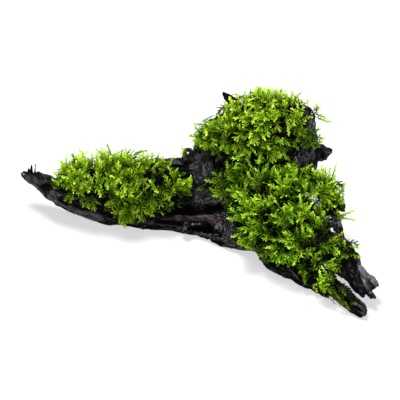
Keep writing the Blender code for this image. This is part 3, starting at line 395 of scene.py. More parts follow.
def wedge(planes):
    target = bmesh.new()
    bmesh.ops.create_cube(target, size=400.0)
    for point, inward in planes:
        direction = Vector(inward).normalized()
        result = bmesh.ops.bisect_plane(target, geom=target.verts[:] + target.edges[:] + target.faces[:], plane_co=Vector(point), plane_no=direction, clear_inner=True)
        rim = [edge for edge in result["geom_cut"] if isinstance(edge, bmesh.types.BMEdge)]
        bmesh.ops.contextual_create(target, geom=rim)
    return new_object("wedge", mesh_of("wedge", target))


def places(mesh):
    """The mesh's points in drawing millimetres, and its normals."""
    co = np.empty(len(mesh.vertices) * 3, np.float32)
    mesh.vertices.foreach_get("co", co)
    normal = np.empty(len(mesh.vertices) * 3, np.float32)
    mesh.vertex_normals.foreach_get("vector", normal)
    return co.reshape(-1, 3).astype(float) / MM + CENTRE, normal.reshape(-1, 3).astype(float)


def put_places(mesh, points):
    mesh.vertices.foreach_set("co", ((points - CENTRE) * MM).astype(np.float32).ravel())
    mesh.update()


def weathering(points, seed=1):
    """The large swellings and hollows, the same as on the plain solid."""
    size = 16.0
    offset = np.array((seed * 17.3, seed * 5.1, seed * 9.7))
    value = np.empty(len(points))
    for i, place in enumerate(points + offset):
        p = Vector(place)
        value[i] = noise.noise(p / size) + 0.55 * noise.noise(p / (size * 0.45)) + 0.25 * noise.noise(p / (size * 0.2))
    return value


def grain_of(points):
    """For each point: how far along the nearest strand it lies, and where across it, mm, and which way the grain runs."""
    best = np.full(len(points), np.inf)
    along = np.zeros((len(points), 3))
    coordinate = np.zeros((len(points), 3))
    which = np.zeros(len(points), int)
    for index, (centres, radii, ahead, side, run) in enumerate(GRAIN):
        near_low = centres.min(0) - 22
        near_high = centres.max(0) + 22
        mask = ((points > near_low) & (points < near_high)).all(1)
        if not mask.any():
            continue
        chosen = np.nonzero(mask)[0]
        for part in np.array_split(chosen, max(1, len(chosen) * len(centres) // 4000000 + 1)):
            away = points[part][:, None, :] - centres[None]
            ratio = np.sqrt((away ** 2).sum(2)) / radii[None]
            j = ratio.argmin(1)
            r = ratio[np.arange(len(part)), j]
            better = r < best[part]
            p, j = part[better], j[better]
            best[p] = r[better]
            which[p] = index
            rel = points[p] - centres[j]
            other = np.cross(ahead[j], side[j])
            along[p] = ahead[j]
            coordinate[p, 0] = run[j] + (rel * ahead[j]).sum(1)
            coordinate[p, 1] = (rel * side[j]).sum(1)
            coordinate[p, 2] = (rel * other).sum(1)
    return coordinate, along, which


def near(points, centre, radius, soft=0.4):
    """1 close to a place and 0 beyond it."""
    distance = np.sqrt((((points - np.array(centre)) / np.array(radius)) ** 2).sum(1))
    return 1 - step_up(distance, 1 - soft, 1)


def on_view(points):
    """Where the points are seen from the front and above, and from which way."""
    rise = np.array((0.0, math.sin(VIEW_RISE), math.cos(VIEW_RISE)))
    ahead = np.array((0.0, math.cos(VIEW_RISE), -math.sin(VIEW_RISE)))
    away = points - (VIEW_TARGET - ahead * VIEW_DISTANCE)
    depth = away @ ahead
    scale = 400.0 * VIEW_LENS / 36.0 / depth
    return np.stack([200 + away[:, 0] * scale, 200 - (away @ rise) * scale], 1), away / np.linalg.norm(away, axis=1)[:, None]


def marked(points, normals):
    """How far each point stands out, and how dark, pale and brown it is, by the marks on the wood's face; the darkness
    is painted shade and the paleness painted highlight and sheen, in part pale wood.
    """
    places, rays = on_view(points)
    facing = step_up(-(normals * rays).sum(1), 0.0, 0.25)
    wander = np.stack([field(points / 3.0, 51), field(points / 3.0, 52)], 1) * 0.55
    ragged = 1 + 0.35 * field(points / 1.7, 53)
    out = np.zeros((len(points), 4))
    for line, half, *amounts in MARKS:
        line = np.array(line, float)
        inside = ((places > line.min(0) - half * 1.5 - 1) & (places < line.max(0) + half * 1.5 + 1)).all(1) & (facing > 0)
        chosen = np.nonzero(inside)[0]
        spots = places[chosen] + wander[chosen]
        nearest = np.full(len(chosen), np.inf)
        for a, b in zip(line, line[1:]):
            t = np.clip(((spots - a) @ (b - a)) / ((b - a) ** 2).sum(), 0, 1)
            nearest = np.minimum(nearest, np.sqrt(((spots - a - t[:, None] * (b - a)) ** 2).sum(1)))
        weight = (1 - step_up(nearest / (half * ragged[chosen]), 0.45, 1.25)) * facing[chosen]
        out[chosen] += weight[:, None] * amounts
    calm = np.zeros(len(points))
    for across, down, wide, high, amount in SMOOTH:
        distance = np.sqrt(((places[:, 0] - across) / wide) ** 2 + ((places[:, 1] - down) / high) ** 2)
        calm = np.maximum(calm, amount * (1 - step_up(distance, 0.75, 1.15)) * facing)
    # painted sheen: how much bluish sheen the wrinkles get, faintly everywhere and more in the listed patches
    wrinkle_sheen = 0.35 * field(points / 9.0, 54)
    for across, down, wide, high, amount in WRINKLE_SHEEN:
        distance = np.sqrt(((places[:, 0] - across) / wide) ** 2 + ((places[:, 1] - down) / high) ** 2)
        wrinkle_sheen = np.maximum(wrinkle_sheen, amount * (1 - step_up(distance, 0.55, 1.15)) * facing)
    # how far each point is from the knot, and how plainly its growth lines show there
    wander = wander + np.stack([field(points / 4.0, 57), field(points / 4.0, 58)], 1) * 3.4
    aside = places[:, 0] - KNOT[0] + wander[:, 0]
    ring = np.sqrt(aside ** 2 + ((places[:, 1] - KNOT[1] + wander[:, 1]) / KNOT[2]) ** 2)
    distance = np.sqrt(((places[:, 0] - 224) / 11) ** 2 + ((places[:, 1] - 225) / 16) ** 2)
    knot = (1 - step_up(distance, 0.75, 1.15)) * step_up(aside + 0.3 * ring, 0, 1.5) * facing
    return out, calm, np.stack([np.clip(wrinkle_sheen, 0, 1), knot, ring], 1)


def carve(mesh):
    """The fine surface: fibres along the grain, long cracks, folds and pits. Returns how high each point stands."""
    points, normals = places(mesh)
    coordinate, along, which = grain_of(points)
    grain = coordinate + which[:, None] * np.array((37.7, 11.3, 23.9))
    warp = np.stack([field(points / 9.0, 31), field(points / 9.0, 32), field(points / 9.0, 33)], 1)
    small_warp = np.stack([field(points / 3.1, 34), field(points / 3.1, 35), field(points / 3.1, 36)], 1)
    g = grain + warp * (3.0, 2.2, 2.2) + small_warp * (0.5, 0.35, 0.35)
    # creases are sharp and the wood between them is round
    broad = np.abs(field(g / (42.0, 4.8, 4.8), 3)) * 2.3
    fibre = np.abs(field(g / (27.0, 2.4, 2.4), 4)) * 2.3
    thin = np.abs(field(g / (8.0, 1.15, 1.15), 5)) * 2.3
    fold = np.abs(field(points / 3.6 + warp * 1.2, 8)) * 2.3
    crumple = np.abs(field(points / 2.2 + small_warp * 0.5, 9)) * 2.3
    lumps = field(points / 5.5, 10)
    # where the surface is fibrous and where it is crumpled
    face = near(points, (9, 14, 25), (28, 16, 18), 0.6)
    curl = near(points, (21, -2, 12), (13, 12, 10), 0.5)
    prongs = step_up(points[:, 0], 52, 62) * step_up(-points[:, 1], 22, 30)
    fibrous = np.clip(0.80 + 0.8 * field(points / 14.0, 11) + 0.6 * prongs - 0.55 * face, 0.10, 1)
    height = fibrous * (0.62 * broad + 0.58 * fibre + 0.08 * thin - 0.50)
    height += (1 - fibrous) * (0.60 * fold + 0.42 * crumple + 0.30 * fibre - 0.52)
    height += 0.35 * lumps
    # growth lines around a knot on the lower face
    flat = (points - np.array((22.0, -3.5, 13.5))) * (1.0, 1.0, 1.25)
    rings = np.sin(np.sqrt((flat ** 2).sum(1)) * 2 * math.pi / 2.6 + 2.2 * field(points / 4.0, 12))
    marks, calm, growth = marked(points, normals)
    marks = np.concatenate([marks, growth], 1)
    height = height * (1 - calm) + calm * (0.22 * np.abs(field(g / (34.0, 2.0, 2.0), 13)) * 2.3 - 0.10)
    height += curl * (1 - calm) * (1 - growth[:, 1]) * 0.42 * rings
    height += growth[:, 1] * 0.24 * np.cos((growth[:, 2] - 0.8) * 2 * math.pi / KNOT[3])
    # cracks that follow the grain
    split = field(g / (30.0, 4.6, 4.6), 14)
    width = 0.045 + 0.04 * field(points / 12.0, 15)
    crack = np.clip(1 - np.abs(split) / np.maximum(width, 0.015), 0, 1) * step_up(field(points / 17.0, 16), -0.3, 0.1)
    split_b = field(g / (18.0, 2.4, 2.4), 17)
    crack_b = np.clip(1 - np.abs(split_b) / 0.07, 0, 1) * step_up(field(points / 10.0, 18), -0.05, 0.25)
    crack, crack_b = crack * (1 - calm), crack_b * (1 - 0.6 * calm)
    height -= 1.5 * crack + 0.6 * crack_b
    height += marks[:, 0]
    # nothing is carved where the wood is thin
    thick = np.ones(len(points))
    for centre, radius in THIN:
        thick = np.minimum(thick, 1 - 0.85 * near(points, centre, (radius,) * 3, 0.4))
    height *= thick
    put_places(mesh, points + normals * height[:, None])
    return height, np.maximum(crack, 0.6 * crack_b), marks, calm, coordinate, which, points


def make_wood():
    target = bmesh.new()
    for index, points in enumerate(STRANDS.values()):
        GRAIN.append(strand(target, points, 1.7 * index))
    wood = new_object("wood", mesh_of("wood", target))
    fused(wood, WOOD_VOXEL)
    for index, points in enumerate(HOLLOWS.values()):
        target = bmesh.new()
        strand(target, points, 0.9 * index)
        cutter = new_object("hollow", mesh_of("hollow", target))
        boolean(wood, cutter, "DIFFERENCE")
        remove(cutter)
    for corners in GAPS.values():
        target = bmesh.new()
        bmesh.ops.convex_hull(target, input=[target.verts.new(corner) for corner in corners])
        cutter = new_object("gap", mesh_of("gap", target))
        boolean(wood, cutter, "DIFFERENCE")
        remove(cutter)
    # the fine pieces are fused on after the gaps, and take the same weathering
    for corners in BLOCKS.values():
        target = bmesh.new()
        bmesh.ops.convex_hull(target, input=[target.verts.new(corner) for corner in corners])
        for face in target.faces:
            face.normal_update()
        block = new_object("block", mesh_of("block", target))
        boolean(wood, block, "UNION")
        remove(block)
    target = bmesh.new()
    for index, points in enumerate(TWIGS.values()):
        GRAIN.append(strand(target, points, 2.1 * index, 0.3))
    twigs = new_object("twigs", mesh_of("twigs", target))
    joined = bmesh.new()
    joined.from_mesh(wood.data)
    joined.from_mesh(twigs.data)
    joined.to_mesh(wood.data)
    joined.free()
    remove(twigs)
    fused(wood, WOOD_VOXEL)
    smooth = wood.modifiers.new("smooth", "SMOOTH")
    smooth.iterations = 3
    smooth.factor = 0.5
    applied(wood)
    mesh = wood.data
    points, normals = places(mesh)
    amount = np.ones(len(points))
    for centre, radius in THIN:
        amount = np.minimum(amount, 1 - 0.85 * near(points, centre, (radius,) * 3, 0.4))
    put_places(mesh, points + normals * (weathering(points) * amount)[:, None])
    return wood


def thinned(item, triangles):
    mesh = item.data
    mesh.calc_loop_triangles()
    fewer = item.modifiers.new("fewer", "DECIMATE")
    fewer.ratio = min(1.0, triangles / len(mesh.loop_triangles))
    fewer.use_collapse_triangulate = True
    applied(item)


def block_below():
    target = bmesh.new()
    bmesh.ops.create_cube(target, size=1.0)
    for vertex in target.verts:
        vertex.co = Vector((vertex.co.x * 400, vertex.co.y * 400, -25 + vertex.co.z * 50))
    return new_object("below", mesh_of("below", target))


def kept(mesh):
    """A search tree over the mesh's points, to look the fine surface's facts up again after it is thinned and sawn."""
    tree = KDTree(len(mesh.vertices))
    for index, vertex in enumerate(mesh.vertices):
        tree.insert(vertex.co, index)
    tree.balance()
    return tree


def write_attribute(mesh, name, kind, values):
    layer = mesh.attributes.new(name, kind, "POINT")
    values = np.ascontiguousarray(values, np.float32)
    layer.data.foreach_set({"FLOAT_VECTOR": "vector", "FLOAT_COLOR": "color", "FLOAT": "value"}[kind], values.ravel())


def tones(points, height, crack, marks, calm, coordinate, which):
    """Warm, pale, dark and rust masks of the wood, each from 0 to 1. Warm and rust are the wood's own colour; pale is
    partly pale weathered wood and partly painted highlight; dark is partly the wood's dark blotches and partly painted
    shade.
    """
    blotch = field(points / 6.0, 41)
    fleck = field(points / 2.2, 42)
    streak = field(coordinate / (14.0, 1.5, 1.5) + which[:, None] * 7.7, 43)
    warm = 0.25 * near(points, (12, 5, 16), (11, 9, 8), 0.8)
    warm = np.maximum(warm, 0.3 * near(points, (-24, 10, 9), (15, 6, 7), 0.9))
    warm = warm * np.clip(0.75 + 1.2 * blotch, 0, 1)
    warm = np.clip(np.maximum(warm, 0.3 * step_up(blotch - 0.6 * fleck, 0.15, 0.5)) + marks[:, 3] * np.clip(0.85 + 0.7 * fleck, 0, 1), 0, 1)
    warm = np.clip(warm + 0.35 * near(points, (-95, 25, 25), (12, 9, 7), 0.8) * np.clip(0.6 + 1.2 * blotch, 0, 1), 0, 1)
    # painted shade at two spots: beside the block at the arm's tip and on the right of the lobe
    shaded = np.maximum(near(points, (-94, 24, 25), (9, 8, 6), 0.7), 0.7 * near(points, (61, 18, 49), (7, 8, 8), 0.7))
    rust = near(points, (12.4, 21.5, 43.5), (6, 7, 7), 0.7) * np.clip(0.3 + 1.4 * fleck, 0, 1) * 0.8
    pale = np.zeros(len(points))
    pale = np.maximum(pale, 0.35 * near(points, (89.5, -51, 15.5), (8.5, 13, 9), 0.5) * step_up(points[:, 2], 9, 14) * step_up(streak, -0.1, 0.2))
    pale = np.maximum(pale, 0.2 * near(points, (-95, 26, 28), (11, 9, 6), 0.7))
    pale = np.maximum(pale, 0.45 * near(points, (0, 23, 41), (8, 6, 8), 0.8) * step_up(streak, -0.1, 0.2))
    pale = np.maximum(pale, 0.45 * near(points, (66, 31, 58), (9, 12, 14), 0.6) * step_up(streak, -0.05, 0.2))
    pale = np.maximum(pale, 0.25 * near(points, (3, 18, 30), (15, 9, 14), 0.8) * step_up(blotch + 0.5 * streak, -0.05, 0.25))
    pale = np.maximum(pale, 0.25 * step_up(blotch + streak, 0.15, 0.5)) * (1 - 0.7 * calm)
    # paler where the surface stands up, as painted highlight, and less pale in the spots of painted shade
    pale = np.clip(pale * (0.8 + 0.6 * fleck) + (1 - 0.6 * calm) * 0.35 * step_up(height, 0.35, 1.0) + marks[:, 2] * (0.9 + 0.5 * fleck), 0, 1) * (1 - 0.6 * shaded)
    # darker in the low places and the cracks, as painted shade, and in the wood's own dark blotches
    dark = 0.92 * (1 - step_up(height, -0.35, 0.50)) + 0.6 * crack + 0.25 * step_up(-blotch, 0.0, 0.35)
    dark = dark * (1 - calm) + calm * (0.62 + 0.3 * (1 - step_up(height, -0.1, 0.25)) - 0.35 * step_up(streak, 0.1, 0.4))
    dark = np.clip(dark + 0.3 * shaded + marks[:, 1] * 0.9 - 0.75 * np.clip(marks[:, 2], 0, 1) - 0.4 * np.clip(marks[:, 3], 0, 1), 0, 1)
    return warm, pale, dark, rust


def under_moss(points):
    """1 where the moss lies on the wood, 0 away from it."""
    moss_shade = np.zeros(len(points))
    for item in [made for name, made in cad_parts.items() if name.startswith("moss_")]:
        mesh = item.data
        co = np.array([tuple(vertex.co) for vertex in mesh.vertices]) / MM + CENTRE
        near_by = ((points > co.min(0) - 3) & (points < co.max(0) + 3)).all(1)
        chosen = np.nonzero(near_by)[0]
        tree = BVHTree.FromPolygons(co.tolist(), [tuple(face.vertices) for face in mesh.polygons])
        for index in chosen:
            place, normal, _, distance = tree.find_nearest(Vector(points[index]), 3.0)
            if place is not None:
                inside = (Vector(points[index]) - place).dot(normal) < 0
                moss_shade[index] = max(moss_shade[index], 1.0 if inside else 1 - distance / 3.0)
    return moss_shade


def finished_wood():
    """The wood in its pieces, each with its fine surface and the facts that its material reads."""
    wood = make_wood()
    height, crack, marks, calm, coordinate, which, base = carve(wood.data)
    tree = kept(wood.data)
    warm, pale, dark, rust = tones(base, height, crack, marks, calm, coordinate, which)
    # painted shade: the wood under the moss is darker and less pale, and its painted sheen is taken away
    moss_shade = step_up(under_moss(base), 0.25, 0.75)
    pale = pale * (1 - 0.75 * moss_shade)
    dark = np.maximum(dark, 0.72 * moss_shade)
    tone = np.stack([warm, pale, dark, rust], 1)
    marks[:, 4] *= 1 - moss_shade
    growth = marks[:, 4:7]
    grain = coordinate + which[:, None] * np.array((37.7, 11.3, 23.9))
    thinned(wood, WOOD_TRIANGLES)
    below = block_below()
    boolean(wood, below, "DIFFERENCE")
    remove(below)
    keep_largest(wood)
    solid = wood.data.copy()
    pieces = []
    for name, planes in CUTS:
        cutter = wedge(planes)
        piece = new_object("bark_" + name, wood.data.copy())
        boolean(piece, cutter, "INTERSECT")
        keep_largest(piece)
        boolean(wood, cutter, "DIFFERENCE")
        remove(cutter)
        pieces.append((name, piece))
    keep_largest(wood)
    pieces.append(("driftwood_trunk", wood))
    for name, piece in pieces:
        mesh = piece.data
        found = np.array([tree.find(vertex.co)[1] for vertex in mesh.vertices])
        write_attribute(mesh, "grain", "FLOAT_VECTOR", grain[found])
        write_attribute(mesh, "tone", "FLOAT_COLOR", tone[found])
        write_attribute(mesh, "growth", "FLOAT_VECTOR", growth[found])
        mesh.shade_smooth()
        mesh.set_sharp_from_angle(angle=math.radians(62))
    return pieces, solid


# ---------------------------------------------------------------- moss
LEAF_STEP = 0.86  # mm between the leaves along a shoot
FRONDS_PER_MM2 = 0.105  # over the open surface of a cushion

# Per cushion: how far its fronds lean outwards, up or down, and at random, the way they flow, their tone, how thickly they grow, the share that lies deep and how yellow they are.
CUSHIONS = {
    "arm_outer": {"lean": (0.7, 0.9, 0.35), "flow": (-0.2, 0, 0), "tone": 0.66, "thick": 0.95},
    "arm_middle": {"lean": (0.6, 0.8, 0.35), "flow": (0.1, 0, 0), "tone": 0.52, "thick": 0.95},
    "arm_hanging": {"lean": (0.7, 0.5, 0.3), "flow": (0, -0.2, -0.5), "tone": 0.56, "thick": 1.0},
    "arm_inner": {"lean": (0.7, 0.4, 0.4), "flow": (0.3, 0, 0), "tone": 0.30, "thick": 0.5},
    "lobe_left": {"lean": (0.8, 0.5, 0.35), "flow": (-0.3, 0, 0.1), "tone": 0.60, "thick": 1.0},
    "lobe_front": {"lean": (0.5, 0.5, 0.4), "flow": (0, -0.2, -0.3), "tone": 0.50, "thick": 1.0},
    "lobe_crown": {"lean": (0.6, 0.9, 0.35), "flow": (0.1, 0, 0), "tone": 0.64, "thick": 1.0},
    "lobe_back": {"lean": (0.6, 0.5, 0.5), "flow": (0, 0, 0), "tone": 0.42, "thick": 0.85},
    "trunk_upper": {"lean": (0.6, 0.5, 0.4), "flow": (-0.2, 0, 0), "tone": 0.30, "thick": 0.9, "hue": 0.15},
    "trunk_lower": {"lean": (0.6, 0.5, 0.4), "flow": (-0.4, -0.2, -0.3), "tone": 0.38, "thick": 0.88, "deep": 0.34, "hue": 0.10},
    "shoulder": {"lean": (0.7, 0.8, 0.35), "flow": (0.2, 0, 0.1), "tone": 0.48, "thick": 0.90, "deep": 0.30, "hue": 0.15},
    "root_front": {"lean": (0.7, 0.5, 0.35), "flow": (-0.3, -0.2, -0.3), "tone": 0.38, "thick": 0.88, "deep": 0.34, "hue": 0.10},
    "root_back": {"lean": (0.6, 0.4, 0.4), "flow": (0.2, 0, 0), "tone": 0.29, "thick": 0.85, "hue": 0.1},
    "prong_fringe": {"lean": (0.7, 0.3, 0.35), "flow": (0.3, -0.2, -0.2), "tone": 0.36, "thick": 0.9},
}

# Single shoots that stand out of the cushions, as they are seen from the front and above: where each leaves the cushion
# or the bark and where it ends, in four-hundredths of the view's width, its lift towards the viewer in mm, how
# wide its side shoots spread, and its tone.
# Places in the same view where the wood shows between the shoots: across, down and radius.
OPENINGS = [
    (104, 193, 6), (112, 194, 4.5), (97, 190, 3), (88, 193, 3), (76, 197, 4), (101, 203, 6), (138, 158, 4), (137, 163, 3),
    (160, 180, 4.5), (152, 178, 3.5), (146, 196, 3.5), (165, 203, 4), (150, 202, 3), (175, 164, 8), (184, 166, 8), (178, 201, 6),
    (128, 202, 3), (75, 172.5, 1.5), (85, 166, 2), (104, 174, 2.5), (118, 186, 2), (139, 174, 2.5),
    (253, 113, 2.5), (299, 108, 3), (270, 103, 1.5), (283, 130, 5), (277, 135, 4), (289, 133, 3.5), (239, 111, 3), (236, 118, 2),
    (228, 137, 3), (255, 134, 3), (269, 138, 2), (298, 138, 4.5), (303, 143, 5), (291, 152, 5), (303, 155, 12), (309, 115, 4),
    (309, 124, 4), (284, 118, 2.5), (271, 126, 3), (215, 152, 3), (233, 131, 2.5),
    (270, 168, 2.5), (258, 184, 4), (262, 194, 4), (266, 190, 3.5), (225, 176, 2.5), (226, 198, 3), (222, 203, 5),
    (230, 200, 3), (250, 166, 2), (246, 180, 2), (269, 175, 2.5),
    (274, 226, 5), (283, 226, 3), (285, 236, 4.5), (274, 236, 4), (258, 238, 4), (263, 243, 4), (292, 232, 3), (279, 247, 5),
    (286, 251, 3), (262, 211, 3), (270, 207, 2.5), (236, 224, 3), (240, 226, 3), (262, 218, 3),
    (317, 225, 4), (322, 233, 6), (328, 240, 4), (314, 242, 5), (320, 246, 4), (308, 262, 7), (300, 262, 4), (312, 277, 5),
    (322, 272, 3), (313, 198.5, 1.8), (312, 203.5, 1.8), (317.8, 202, 1.8), (322.3, 208, 1.3), (327, 218, 3), (334, 222, 5), (341, 207, 5.5), (336, 284, 5), (343, 291, 6), (335, 292, 4), (314, 164, 6), (309, 159, 5),
    (337, 214, 4), (338, 226, 6), (332, 231, 5), (343, 234, 5), (328, 257, 4), (346, 262, 6), (354, 262, 6), (353, 250, 3),
    (295, 210, 2.5), (296, 222, 2.5), (310, 222, 3), (329, 270, 4), (338, 278, 4), (344, 284, 4), (350, 292, 4), (356, 300, 8),
    (226, 214, 4), (226, 220, 4.5), (227, 227, 5), (229, 234, 5.5), (234, 240, 5), (240, 245, 4.5), (243, 247, 4), (247, 249, 4.5), (251, 251, 3.5), (256, 252, 3.5),
    (46, 173, 6), (345, 188, 6), (351, 196, 7), (341, 179, 5), (112, 229, 4), (118, 231, 4), (131, 229, 4), (137, 227, 3), (352, 206, 6),
    (362, 308, 7), (335, 298, 4), (348, 270, 7), (351, 243, 5), (351, 203, 6), (349, 213, 5), (352, 222, 8),
]

# Places beside the outline where no shoot reaches: across, down and radius.
OUTSIDE = [
    (211, 108, 9.5), (219, 105, 7.5), (216, 99, 6.5), (213, 113.5, 3.5), (223, 111, 4.5), (226.5, 113, 3), (205, 113, 7), (198, 118, 6.5), (190, 118.5, 6),
    (181, 140, 5), (218, 92, 4), (232, 91, 3.5), (241, 92, 4.5), (248, 93, 2.5), (247, 86, 3.5), (251, 84, 3), (353, 200, 7), (350, 190, 6), (357, 240, 5.5), (351, 230, 4.5),
    (256, 258.5, 4), (248, 255.5, 4), (241, 252.5, 3.5), (264, 81, 3.5), (238, 254, 5), (245, 258, 5), (252, 262, 5.5), (51, 163, 5), (348, 196, 3),
]

